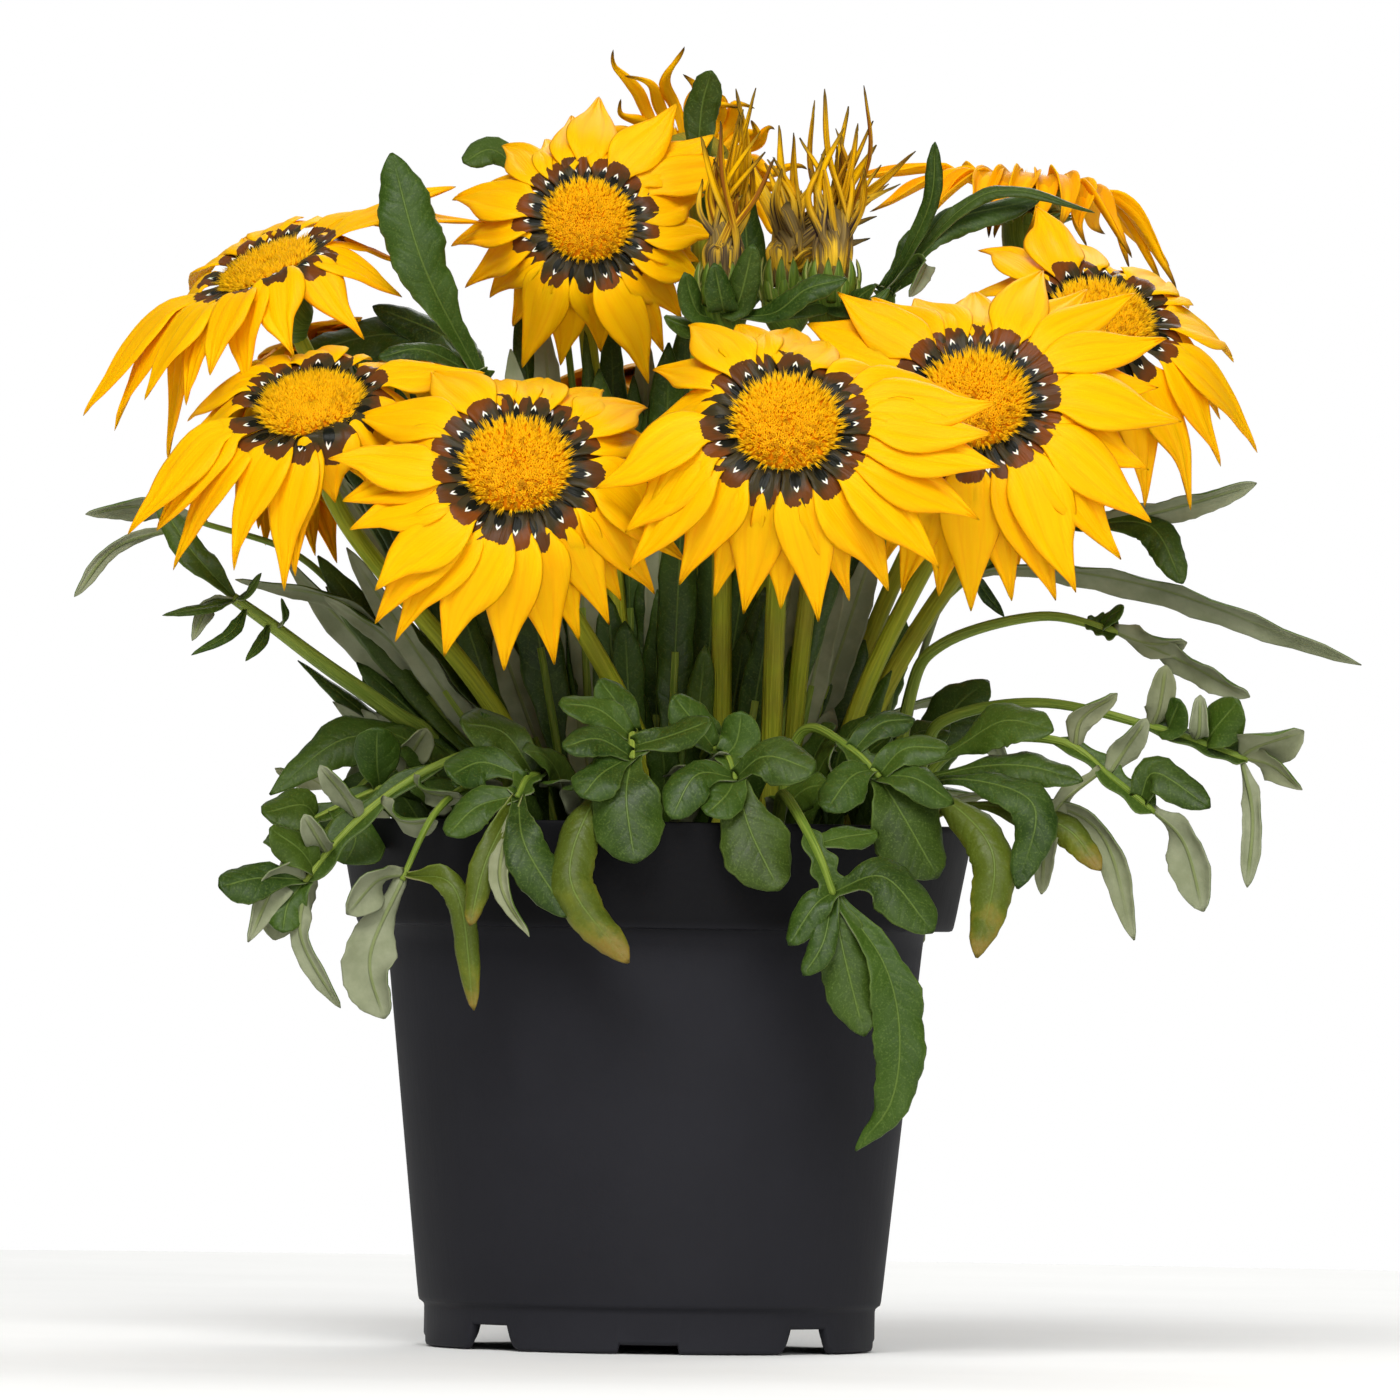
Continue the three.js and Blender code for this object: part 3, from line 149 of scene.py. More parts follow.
# A crown of leaves at its place on the soil, and the blades that grow from it. A blade is
# [kind, width, points...] from base to tip. First letter of kind: k stalk, o spoon-shaped, s strap,
# l lance, t tall and broad. Second letter: u upper side to the front, g felted underside to the
# front, y aged. A third letter r: the blade has its own petiole from the crown; the others start on
# the nearest stalk of their group. A stalk with s as its second letter has hardly any blade along it.
LEAVES = {
    "left_low": dict(root=[-31, -27], blades=[
        ["kur", 2.4, [-28, -34, 124], [-45, -40, 118], [-57, -42, 110], [-65, -45, 102], [-71, -48, 94]],
        ["lg", 9, [-76, -49, 95], [-82, -52, 82]], ["ou", 10.5, [-80, -52, 95], [-88, -55, 93]],
        ["ou", 8.5, [-74, -50, 90], [-75, -53, 84]], ["sg", 5.5, [-71, -52, 83], [-63, -54, 69]],
        ["og", 6.5, [-63, -46, 112], [-68, -50, 118]], ["og", 6.5, [-68, -49, 103], [-71, -53, 108]],
        ["ou", 9, [-72, -50, 101], [-78, -53, 105]], ["og", 6, [-46, -46, 113], [-39, -50, 112]],
        ["og", 7.5, [-51, -48, 107], [-44, -52, 107]],
        ["kur", 2.2, [-38, -42, 114], [-45, -53, 108], [-51, -57, 95]],
        ["og", 12.5, [-57, -59, 80], [-54, -59, 67]], ["og", 10, [-56, -60, 95], [-62, -63, 88]],
        ["kur", 2.2, [-24, -46, 116], [-26, -54, 116], [-28, -61, 112]],
        ["sy", 6.5, [-40, -64, 93], [-36, -63, 69]], ["oy", 6.5, [-34, -68, 99], [-37, -70, 86]],
        ["ou", 11, [-35, -54, 119], [-42, -59, 116]], ["ou", 9, [-36, -60, 110], [-42, -64, 104]],
        ["ou", 12, [-31, -47, 125], [-40, -51, 127]], ["ou", 10.5, [-26, -70, 102], [-17, -72, 88]],
        ["lg", 5, [-31, -70, 96], [-25, -72, 84]]]),
    "left_big": dict(root=[-41, -10], blades=[
        ["lur", 14, [-44, -7, 121], [-63, -10, 124], [-79, -16, 112]],
        ["kur", 2, [-48, -20, 117], [-60, -25, 112], [-70, -28, 107]],
        ["ou", 12, [-72, -31, 110], [-80, -35, 108]], ["ou", 13, [-61, -32, 104], [-63, -36, 98]],
        ["ou", 10.5, [-74, -32, 103], [-78, -36, 101]], ["ou", 10.5, [-57, -28, 119], [-57, -32, 126]],
        ["og", 8, [-50, -24, 121], [-47, -28, 126]]]),
    "shoot_left": dict(root=[-38, 7], blades=[
        ["ksr", 4.2, [-54, -5, 129], [-68, -12, 138.5], [-79, -17, 146.5], [-87, -19, 152]],
        ["lu", 3.4, [-92, -26, 150], [-101, -30, 148]], ["lu", 3.1, [-87, -25, 145], [-95, -30, 140]],
        ["lu", 2.7, [-81, -24, 143], [-84, -28, 139]], ["lu", 2.4, [-76, -21, 148], [-77, -25, 152]],
        ["lu", 3, [-84, -25, 153], [-81, -28, 157]], ["lu", 7, [-96, -15, 162], [-104, -10, 174]],
        ["lg", 5, [-92, -22, 150], [-95, -26, 143]],
        ["kur", 2.2, [-57, 9, 144], [-74, 8, 161], [-95, 6, 168]],
        ["lg", 7, [-107, 3, 171], [-118, -2, 169]], ["sg", 3.6, [-111, 1, 163], [-120, -3, 152]],
        ["sgr", 5.5, [-47, 5, 132], [-63, -1, 151], [-87, -6, 156]],
        ["sgr", 5.5, [-41, 4, 126], [-55, -3, 144], [-69, -8, 153]],
        ["tur", 12, [-45, 13, 120], [-53, 18, 132], [-61, 22, 140]]]),
    "leaf_tall": dict(root=[-18, 11], blades=[
        ["kur", 2.6, [-27, 4, 161], [-33, -8, 185], [-38, -18, 199]],
        ["ou", 12.5, [-49, -26, 220], [-56, -24, 243]], ["ou", 5.5, [-49, -25, 203], [-58, -28, 201]],
        ["ou", 8.5, [-44, 2, 206], [-60, 10, 213]], ["ou", 12, [-54, 8, 207], [-75, 8, 203]],
        ["tur", 11, [-13, 15, 122], [-10, 20, 140], [-9, 24, 156]],
        ["kur", 2, [-18, 20, 190], [-24, 22, 232], [-29, 22, 241]],
        ["ou", 7.5, [-36, 21, 246], [-42, 18, 243]]]),
    "centre_left": dict(root=[-5, -39], blades=[
        ["kur", 2.6, [-4, -48, 125], [-5, -56, 125], [-5, -62, 120]],
        ["ou", 16, [-6, -69, 112], [-4, -72, 99]], ["ou", 8.5, [-12, -65, 124], [-19, -68, 122]],
        ["ou", 10.5, [-11, -68, 117], [-15, -71, 112]], ["ou", 8.5, [-12, -59, 130], [-20, -61, 131]],
        ["ou", 8.5, [-8, -55, 131], [-12, -56, 136]], ["ou", 8, [3, -62, 125], [11, -65, 128]],
        ["oyr", 12, [-11, -63, 114], [-17, -73, 96], [-5, -75, 79]]]),
    "centre_mid": dict(root=[8, -41], blades=[
        ["kur", 2.2, [10, -50, 122], [14, -58, 121], [16, -62, 116]],
        ["ou", 10, [8, -67, 117], [3, -70, 108]], ["ou", 9, [16, -58, 124], [17, -59, 130]],
        ["ou", 12, [22, -66, 121], [32, -69, 118]], ["ou", 9, [14, -67, 113], [10, -70, 109]],
        ["ou", 15, [19, -68, 106], [25, -71, 94]], ["ou", 9, [8, -56, 127], [3, -57, 133]]]),
    "centre_right": dict(root=[24, -38], blades=[
        ["kur", 2.6, [31, -44, 127], [40, -51, 122], [45, -54, 117]],
        ["ou", 17, [50, -58, 109], [57, -56, 97]], ["ou", 10.5, [39, -58, 117], [34, -63, 110]],
        ["ou", 9, [52, -59, 117], [60, -58, 112]], ["ou", 8.5, [50, -55, 123], [59, -56, 123]],
        ["ou", 7.5, [45, -50, 128], [52, -49, 129]],
        ["kur", 3, [26, -56, 113], [32, -66, 103], [36, -68, 93]],
        ["su", 11.5, [38, -71, 82], [42.5, -72, 65]],
        ["lu", 11, [46, -72, 80], [49.5, -72, 66], [48, -71, 52], [41, -68, 42]],
        ["ou", 13, [46, -71, 97], [56, -72, 86]], ["ou", 7.5, [32, -71, 91], [27, -72, 83]],
        ["ou", 6, [34, -73, 84], [30, -74, 77]], ["ou", 6.5, [38, -63, 105], [45, -60, 106]]]),
    "right_rosette": dict(root=[41, -31], blades=[
        ["our", 11.5, [60, -40, 123], [70, -46, 129], [80, -50, 127]],
        ["our", 8.5, [62, -44, 119], [74, -49, 120], [86, -53, 117]],
        ["oyr", 11, [56, -46, 114], [68, -56, 102], [65, -58, 81]],
        ["our", 10, [61, -49, 117], [76, -56, 112], [73, -58, 95]]]),
    "right_low": dict(root=[49, -20], blades=[
        ["sgr", 7.5, [68, -34, 114], [89, -42, 108], [97, -46, 85]],
        ["oyr", 8, [66, -38, 112], [82, -47, 108], [90, -51, 99]],
        ["kur", 2.4, [66, -28, 125], [82, -34, 125], [92, -37, 118], [101, -40, 111]],
        ["og", 10.5, [107, -43, 105], [111, -45, 91]], ["ou", 9, [101, -41, 119], [112, -45, 112]],
        ["og", 6, [86, -37, 130], [93, -40, 135]], ["og", 6.5, [95, -37, 124], [99, -41, 130]],
        ["og", 6, [80, -44, 110], [78, -50, 94]]]),
    "right_mid": dict(root=[51, -7], blades=[
        ["kur", 2.8, [60, -14, 130], [79, -20, 133], [102, -26, 128], [120, -30, 122]],
        ["og", 6.5, [102, -29, 133], [103, -32, 141]], ["ou", 7.5, [104, -29, 129], [106, -33, 134]],
        ["og", 5, [110, -31, 128], [110, -33, 135]], ["ou", 11, [113, -31, 128], [118, -34, 134]],
        ["og", 12, [122, -33, 125], [131, -37, 128]], ["lg", 7.5, [125, -32, 121], [131, -34, 116]],
        ["sg", 5, [121, -34, 111], [120, -36, 96]]]),
    "straps_right": dict(root=[47, 6], blades=[
        ["sgr", 8.5, [66, 9, 160], [100, 5, 158], [144, 0, 142]],
        ["kur", 3, [58, 1, 145], [78, 0, 151], [94, -2, 148]],
        ["og", 7.5, [100, -4, 146], [108, -7, 146]], ["og", 7.5, [108, -5, 142], [121, -8, 135]],
        ["ou", 4.5, [92, -4, 151], [95, -7, 153]],
        ["tur", 12, [54, 13, 120], [61, 18, 132], [68, 22, 138]]]),
    "right_up": dict(root=[42, 16], blades=[
        ["kur", 2.2, [60, 16, 156], [74, 13, 166], [86, 9, 170]],
        ["sg", 7, [102, 4, 173], [122, 0, 179]], ["ou", 8, [100, 2, 170], [107, -5, 158]],
        ["lu", 3.4, [67, 18, 156], [71, 18, 151]]]),
    "top_right": dict(root=[30, 22], blades=[
        ["kur", 2.4, [40, 16, 175], [43, 12, 208], [46, 9, 218]],
        ["ou", 8.5, [56, 8, 231], [77, 9, 237]], ["ou", 4, [54, 3, 235], [55, 0, 248]],
        ["lu", 4, [60, 6, 234], [71, 4, 238.5], [88, 2, 234]],
        ["og", 5.5, [53, 2, 223], [50, -4, 216]], ["kur", 2, [18, 17, 195], [10, 8, 230], [6, 6, 240]],
        ["ou", 7.5, [7, 4, 254], [9, 1, 262]], ["ou", 8, [17, 8, 218], [15.5, 6, 241]]]),
    "back_left": dict(root=[-30, 31], blades=[
        ["kur", 2.4, [-42, 44, 122], [-58, 56, 118], [-70, 64, 104]],
        ["ou", 12.5, [-76, 70, 96], [-80, 74, 82]], ["ou", 9, [-72, 62, 116], [-80, 60, 118]],
        ["ou", 9, [-60, 66, 110], [-60, 74, 102]], ["ou", 9, [-56, 50, 126], [-64, 44, 132]],
        ["ogr", 10, [-38, 42, 124], [-54, 58, 126], [-66, 70, 112]],
        ["our", 11.5, [-26, 44, 124], [-34, 62, 124], [-38, 76, 100]],
        ["tur", 13, [-37, 33, 122], [-44, 35, 136], [-48, 36, 148]],
        ["tur", 13, [-28, 37, 126], [-30, 40, 144], [-28, 43, 157]]]),
    "back_middle": dict(root=[2, 42], blades=[
        ["kur", 2.4, [2, 54, 124], [0, 66, 118], [-2, 74, 104]], ["ou", 15, [-3, 78, 92], [-4, 79, 76]],
        ["ou", 9, [8, 70, 116], [16, 76, 112]], ["ou", 9, [-8, 72, 112], [-15, 78, 106]],
        ["ou", 8, [8, 62, 125], [15, 64, 130]],
        ["ogr", 8, [-8, 54, 128], [-16, 74, 136], [-22, 96, 122]],
        ["tur", 13, [-7, 43, 126], [-13, 44, 146], [-16, 46, 162]],
        ["tur", 13, [4, 46, 128], [2, 49, 150], [-1, 51, 168]],
        ["tur", 13, [11, 42, 124], [17, 42, 144], [19, 44, 160]]]),
    "back_right": dict(root=[34, 34], blades=[
        ["kur", 2.4, [42, 46, 124], [50, 62, 120], [53, 72, 106]],
        ["ou", 14, [51, 78, 94], [50, 81, 78]], ["ou", 9, [57, 66, 116], [68, 66, 114]],
        ["ou", 9, [45, 70, 114], [38, 78, 108]],
        ["sgr", 7, [50, 42, 132], [64, 54, 134], [74, 64, 118]],
        ["our", 10.5, [30, 50, 124], [30, 66, 122], [30, 78, 102]],
        ["tur", 13, [39, 33, 124], [45, 33, 140], [50, 34, 152]],
        ["tur", 13, [32, 50, 124], [28, 56, 140], [26, 58, 152]]]),
}
# Small leaves that grow on the stems of the spent blooms.
STEM_LEAVES = {
    "a": [
        ["ou", 6, [7, -34, 211], [4, -38, 219]], ["ou", 7, [15, -35, 213], [18, -39, 225]],
        ["ou", 6.5, [12, -36, 212], [10, -39, 221]],
        ["su", 6.5, [22, -37, 211], [29, -40, 216], [37, -41, 218]],
        ["ou", 6, [6, -31, 208], [0, -34, 210]], ["ou", 6.5, [12, -34, 206], [8, -39, 205]]],
    "c": [
        ["lu", 6, [30, -35, 213], [23, -39, 210]], ["lu", 6.5, [37, -36, 213], [43, -41, 217]],
        ["lu", 4, [41, -27, 213], [46, -25, 217]], ["ou", 6.5, [38, -32, 209], [42, -36, 206]]],
}

# ---------------------------------------------------------------- vectors and curves
def vec(*xyz):
    """A point or a direction."""
    return np.array(xyz, dtype=float)


SIDEWAYS, BACKWARDS, UP = vec(1, 0, 0), vec(0, 1, 0), vec(0, 0, 1)


def unit(p):
    """The same direction with length 1."""
    return p / np.linalg.norm(p)


def flattened(p, n):
    """The part of p square to n."""
    return p - n * p.dot(n)


def all_round(count):
    """Evenly spaced angles of a full turn."""
    return np.arange(count) / count * TURN


def outward(turn, r=1.0, a=SIDEWAYS, b=BACKWARDS):
    """A step of length r, turned from a towards b."""
    return a * (r * math.cos(turn)) + b * (r * math.sin(turn))


def outward_all(a, b, turns):
    """The unit steps at many turns."""
    return np.outer(np.cos(turns), a) + np.outer(np.sin(turns), b)


def upright(at):
    """A standing axis at a point: its middle, two directions across and one along it."""
    return at, SIDEWAYS, BACKWARDS, UP


def paired(a, b):
    """Two arrays of numbers joined to one of pairs."""
    return np.stack(np.broadcast_arrays(a, b), -1)


def distances(line):
    """How far each point of a line lies from its start, along the line."""
    return np.concatenate([[0], np.cumsum(np.linalg.norm(np.diff(line, axis=0), axis=1))])


def draw(seed):
    """A repeatable random number in 0..1."""
    s = math.sin(seed * 12.9898 + 4.1414) * 43758.5453
    return s - math.floor(s)


def smooth(points):
    """A rounded curve through all the points, as a function of 0..1."""
    beyond = [2 * points[0] - points[1], *points, 2 * points[-1] - points[-2]]

    def at(t):
        place = t * (len(points) - 1)
        i = min(int(place), len(points) - 2)
        w = place - i
        p0, p1, p2, p3 = beyond[i:i + 4]
        out, into = (p2 - p0) / 2, (p3 - p1) / 2
        return (p1 + out * w + (3 * (p2 - p1) - 2 * out - into) * w ** 2
            + (2 * (p1 - p2) + out + into) * w ** 3)
    return at


def bezier(*points):
    """The curve that a row of control points shapes, as a function of 0..1."""
    def at(t):
        row = list(points)
        while len(row) > 1:
            row = [p + (q - p) * t for p, q in zip(row, row[1:])]
        return row[0]
    return at


def direction(curve, t):
    """The way a curve runs at t."""
    return unit(curve(min(1, t + 0.01)) - curve(max(0, t - 0.01)))


def evenly(curve, steps):
    """Points of a curve at even steps of t."""
    return [curve(i / steps) for i in range(steps + 1)]


def eased(stops, t):
    """Smooth values at t through stops of place and value, without overshoot."""
    x, y = np.array(stops, dtype=float).T
    rise = np.diff(y) / np.diff(x)
    both = rise[:-1] * rise[1:]
    inner = np.where(both > 0, 2 * both / (rise[:-1] + rise[1:] + (both <= 0)), 0)
    slope = np.concatenate([rise[:1], inner, rise[-1:]])
    t = np.asarray(t, dtype=float)
    i = np.clip(np.searchsorted(x, t, side="right") - 1, 0, len(x) - 2)
    h = x[i + 1] - x[i]
    w = (t - x[i]) / h
    return ((1 + 2 * w) * (1 - w) ** 2 * y[i] + w * (1 - w) ** 2 * h * slope[i]
        + w * w * (3 - 2 * w) * y[i + 1] + w * w * (w - 1) * h * slope[i + 1])


# ---------------------------------------------------------------- surfaces
class Piece:
    """One piece in the making: points, faces, each face's finish, and three maps at each point.

    place is sideways and lengthwise in mm, share the same from 0 to 1, and kind tells one petal or leaf
    from the next: a random number, and one that each finish reads in its own way, such as age or shade.
    """

    def __init__(self):
        self.count = 0
        self.points, self.faces, self.finish = [], [], []
        self.maps = dict(place=[], share=[], kind=[])

    def add(self, points, faces, finish, place, share, kind):
        """Points, groups of faces between them with one finish, and the maps' values."""
        points = np.reshape(points, (-1, 3))
        for group in faces:
            group = np.asarray(group) + self.count
            self.faces += group.tolist()
            self.finish += [finish] * len(group)
        self.points.append(points)
        for name, values in (("place", place), ("share", share), ("kind", kind)):
            values = np.asarray(values, dtype=float)
            flat = values.reshape(-1, 2) if values.ndim > 1 else values
            self.maps[name].append(np.broadcast_to(flat, (len(points), 2)))
        self.count += len(points)

    def bare(self, name):
        """An object of the points and faces alone."""
        mesh = bpy.data.meshes.new(name)
        mesh.from_pydata((np.concatenate(self.points) * MM).tolist(), [], self.faces)
        made = bpy.data.objects.new(name, mesh)
        bpy.context.scene.collection.objects.link(made)
        return made

    def make(self, name, slot, finishes, *nodes):
        """The finished object, which rides on the root and stands for the CAD nodes."""
        piece = self.bare(name)
        mesh = piece.data
        mesh.polygons.foreach_set("material_index", self.finish)
        mesh.polygons.foreach_set("use_smooth", [True] * len(mesh.polygons))
        corners = np.empty(len(mesh.loops), dtype=np.int32)
        mesh.loops.foreach_get("vertex_index", corners)
        for label, values in self.maps.items():
            layer = mesh.uv_layers.new(name=label)
            layer.data.foreach_set("uv", np.concatenate(values)[corners].ravel())
        for finish in finishes:
            mesh.materials.append(finish)
        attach(piece, "root")
        if nodes:
            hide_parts(*nodes)
        return piece


def rings_body(piece, rings, finish, kind=(0, 0)):
    """A closed body of rings of points, each turning the same way round the line that joins them."""
    rings = np.asarray(rings, dtype=float)
    count, sides = rings.shape[:2]
    number = np.arange(count * sides).reshape(count, sides)
    after = np.roll(number, -1, axis=1)
    walls = np.stack([number[:-1], after[:-1], after[1:], number[1:]], -1).reshape(-1, 4)
    caps = [number[:1, ::-1], number[-1:]]
    there_and_back = 1 - np.abs(2 * np.arange(sides) / sides - 1)
    share = paired(there_and_back[None], np.linspace(0, 1, count)[:, None])
    middle = rings.mean(axis=1)
    reach = np.linalg.norm(rings[:, 0] - middle, axis=1)
    place = paired(share[..., 0] * reach[:, None] * math.pi, distances(middle)[:, None])
    piece.add(rings, [walls, *caps], finish, place, share, kind)


def rod(piece, line, radii, sides, finish, kind, ridge=0, groove=0):
    """A round stalk along a line of points, with ridges or a groove along it."""
    line = np.asarray(line, dtype=float)
    turns = all_round(sides)
    shape = 1 + ridge * np.cos(turns * (sides // 2)) - groove * np.exp(-((turns - TURN / 4) / 0.5) ** 2)
    rings, side = [], None
    for i, at in enumerate(line):
        along = unit(line[min(i + 1, len(line) - 1)] - line[max(i - 1, 0)])
        side = unit(flattened(side, along) if side is not None else np.cross(along, vec(0.31, 0.95, 0)))
        up = np.cross(along, side)
        out = np.outer(np.cos(turns) * shape, side) + np.outer(np.sin(turns) * shape, up)
        rings.append(at + out * radii[i])
    rings_body(piece, rings, finish, kind)


def turned(piece, axis, profile, sides, finish, kind=(0, 0)):
    """A body turned round an axis of middle, two directions across and one along it."""
    middle, a, b, n = axis
    around = outward_all(a, b, all_round(sides))
    rings_body(piece, [middle + n * z + around * r for r, z in profile], finish, kind)


def sheet(piece, grid, thick, place, share, kind, upper, lower):
    """A thin closed skin round a grid of points, rows along the blade and columns across it."""
    rows, cols = grid.shape[:2]
    normal = np.cross(np.gradient(grid, axis=1), np.gradient(grid, axis=0))
    normal /= np.linalg.norm(normal, axis=2, keepdims=True) + 1e-9
    half = np.zeros((rows, cols, 1))
    half[1:-1, 1:-1] = thick / 2
    above = grid + normal * half
    below = (grid - normal * half)[1:-1, 1:-1]
    top = np.arange(rows * cols).reshape(rows, cols)
    under = top.copy()
    under[1:-1, 1:-1] = rows * cols + np.arange((rows - 2) * (cols - 2)).reshape(rows - 2, cols - 2)

    def quads(n):
        return np.stack([n[:-1, :-1], n[:-1, 1:], n[1:, 1:], n[1:, :-1]], -1).reshape(-1, 4)

    points = np.concatenate([above.reshape(-1, 3), below.reshape(-1, 3)])
    maps = [np.concatenate([m.reshape(-1, 2), m[1:-1, 1:-1].reshape(-1, 2)]) for m in (place, share)]
    start = len(piece.faces)
    piece.add(points, [quads(top), quads(under)[:, ::-1]], upper, *maps, kind)
    piece.finish[start + (rows - 1) * (cols - 1):] = [lower] * ((rows - 1) * (cols - 1))


LEAST_CURL = 1e-3  # the form of a curl of 0 would need a division by 0


def blade(piece, curve, facing, stations, across, half, curl, thick, kind,
        lift=0.0, twist=0.0, widest=0.6, start=0.0, scale=1.0, upper=0, lower=1):
    """A petal or leaf along a curve: half its width and its curl at each station.

    curl is the angle through which the section turns from its middle to its edges, one number a row,
    or one for each point; lift raises single points; facing is the way its upper side looks.
    """
    at = np.array([curve(t) for t in stations])
    along = np.array([direction(curve, t) for t in stations])
    middle = int(np.argmin(abs(np.asarray(stations) - widest)))
    side = np.zeros_like(at)
    side[middle] = unit(np.cross(along[middle], facing))
    for i in [*range(middle + 1, len(at)), *range(middle - 1, -1, -1)]:
        before = side[i - 1] if i > middle else side[i + 1]
        raw = np.cross(along[i], facing)
        raw = raw if raw.dot(before) > 0 else -raw
        side[i] = unit(raw + 0.4 * flattened(before, along[i]))
    up = np.cross(side, along)
    turn = np.broadcast_to(twist, len(at))[:, None]
    side, up = side * np.cos(turn) + up * np.sin(turn), up * np.cos(turn) - side * np.sin(turn)
    full = len(at), len(across)
    half, curl = (np.broadcast_to(np.asarray(v)[:, None] if np.ndim(v) == 1 else v, full)
        for v in (half, curl))
    curl = np.where(abs(curl) < LEAST_CURL, LEAST_CURL, curl)
    angle = curl * across
    x = half * np.sin(angle) / curl
    z = half * (1 - np.cos(angle)) / curl + lift
    grid = at[:, None] + side[:, None] * x[..., None] + up[:, None] * z[..., None]
    length = start + distances(at) / scale
    place = paired(half * across / scale, length[:, None])
    share = paired(0.5 + across / 2, np.asarray(stations)[:, None])
    sheet(piece, grid, thick, place, share, kind, upper, lower)


# ---------------------------------------------------------------- the words of the shaders
def rgb(code):
    """Linear colour of a hex code."""
    parts = [int(code[i:i + 2], 16) / 255 for i in (0, 2, 4)]
    return (*[c / 12.92 if c < 0.04045 else ((c + 0.055) / 1.055) ** 2.4 for c in parts], 1)


class Value:
    """A number that changes over a surface; sums and products of values become Math nodes."""

    def __init__(self, net, socket):
        self.net, self.socket = net, socket

    def __add__(self, other):
        return self.net.math("ADD", self, other)

    def __sub__(self, other):
        return self.net.math("SUBTRACT", self, other)

    def __rsub__(self, other):
        return self.net.math("SUBTRACT", other, self)

    def __mul__(self, other):
        return self.net.math("MULTIPLY", self, other)

    def __truediv__(self, other):
        return self.net.math("DIVIDE", self, other)

    def __pow__(self, other):
        return self.net.math("POWER", self, other)

    def __abs__(self):
        return self.net.math("ABSOLUTE", self)

    __radd__, __rmul__ = __add__, __mul__


class Net:
    """The nodes of one material or group, in short words."""

    def __init__(self, tree):
        self.tree = tree

    def node(self, kind, **settings):
        made = self.tree.nodes.new(kind)
        for name, value in settings.items():
            setattr(made, name, value)
        return made

    def feed(self, socket, value):
        """Put a value, a colour, a hex code or a plain number into a socket."""
        if isinstance(value, Value):
            self.tree.links.new(value.socket, socket)
        else:
            socket.default_value = rgb(value) if isinstance(value, str) else value

    def math(self, operation, *inputs):
        """One of Blender's math operations on values or numbers."""
        made = self.node("ShaderNodeMath", operation=operation)
        for socket, value in zip(made.inputs, inputs):
            self.feed(socket, value)
        return Value(self, made.outputs[0])

    def step(self, value, low, high, out_low=0.0, out_high=1.0):
        """A soft step from out_low, where value is low or less, to out_high."""
        made = self.node("ShaderNodeMapRange", interpolation_type="SMOOTHSTEP")
        for socket, number in zip(made.inputs, (value, low, high, out_low, out_high)):
            self.feed(socket, number)
        return Value(self, made.outputs[0])

    def blend(self, share, a, b):
        """Colour a where share is 0, and b where it is 1."""
        made = self.node("ShaderNodeMix", data_type="RGBA")
        for i, value in ((0, share), (6, a), (7, b)):
            self.feed(made.inputs[i], value)
        return Value(self, made.outputs[2])

    def paint(self, colour, *coats):
        """A colour under coats, each given by its share and its colour."""
        for share, coat in coats:
            colour = self.blend(share, colour, coat)
        return colour

    def map(self, name):
        """Both numbers of one of the piece's maps."""
        split = self.node("ShaderNodeSeparateXYZ")
        self.tree.links.new(self.node("ShaderNodeUVMap", uv_map=name).outputs[0], split.inputs[0])
        return Value(self, split.outputs[0]), Value(self, split.outputs[1])

    def spot(self, space="Object"):
        """The place on the piece in metres, or in another space, as three values."""
        split = self.node("ShaderNodeSeparateXYZ")
        self.tree.links.new(self.node("ShaderNodeTexCoord").outputs[space], split.inputs[0])
        return [Value(self, socket) for socket in split.outputs]

    def noise(self, x, y, z, detail=2.0, rough=0.5):
        """Soft noise, one patch to each unit of x, y and z."""
        where = self.node("ShaderNodeCombineXYZ")
        for socket, value in zip(where.inputs, (x, y, z)):
            self.feed(socket, value)
        made = self.node("ShaderNodeTexNoise")
        self.tree.links.new(where.outputs[0], made.inputs["Vector"])
        made.inputs["Scale"].default_value = 1
        made.inputs["Detail"].default_value = detail
        made.inputs["Roughness"].default_value = rough
        return Value(self, made.outputs["Fac"])

    def use(self, group, **inputs):
        """Place a node group with its own values, and give its outputs."""
        made = self.node("ShaderNodeGroup", node_tree=group)
        for name, value in inputs.items():
            self.feed(made.inputs[name.replace("_", " ")], value)
        outputs = [Value(self, socket) for socket in made.outputs]
        return outputs[0] if len(outputs) == 1 else outputs


def effect(name, inputs, outputs):
    """An empty node group with named number sockets, its net, its inputs and a way to end it."""
    tree = bpy.data.node_groups.new(name, "ShaderNodeTree")
    for label, value in inputs.items():
        socket = tree.interface.new_socket(name=label, in_out="INPUT", socket_type="NodeSocketFloat")
        socket.default_value = value
    for label in outputs:
        tree.interface.new_socket(name=label, in_out="OUTPUT", socket_type="NodeSocketFloat")
    net = Net(tree)
    inlet, outlet = net.node("NodeGroupInput"), net.node("NodeGroupOutput")

    def give(*values):
        for socket, value in zip(outlet.inputs, values):
            net.feed(socket, value)
        return tree
    return net, [Value(net, socket) for socket in inlet.outputs[:-1]], give


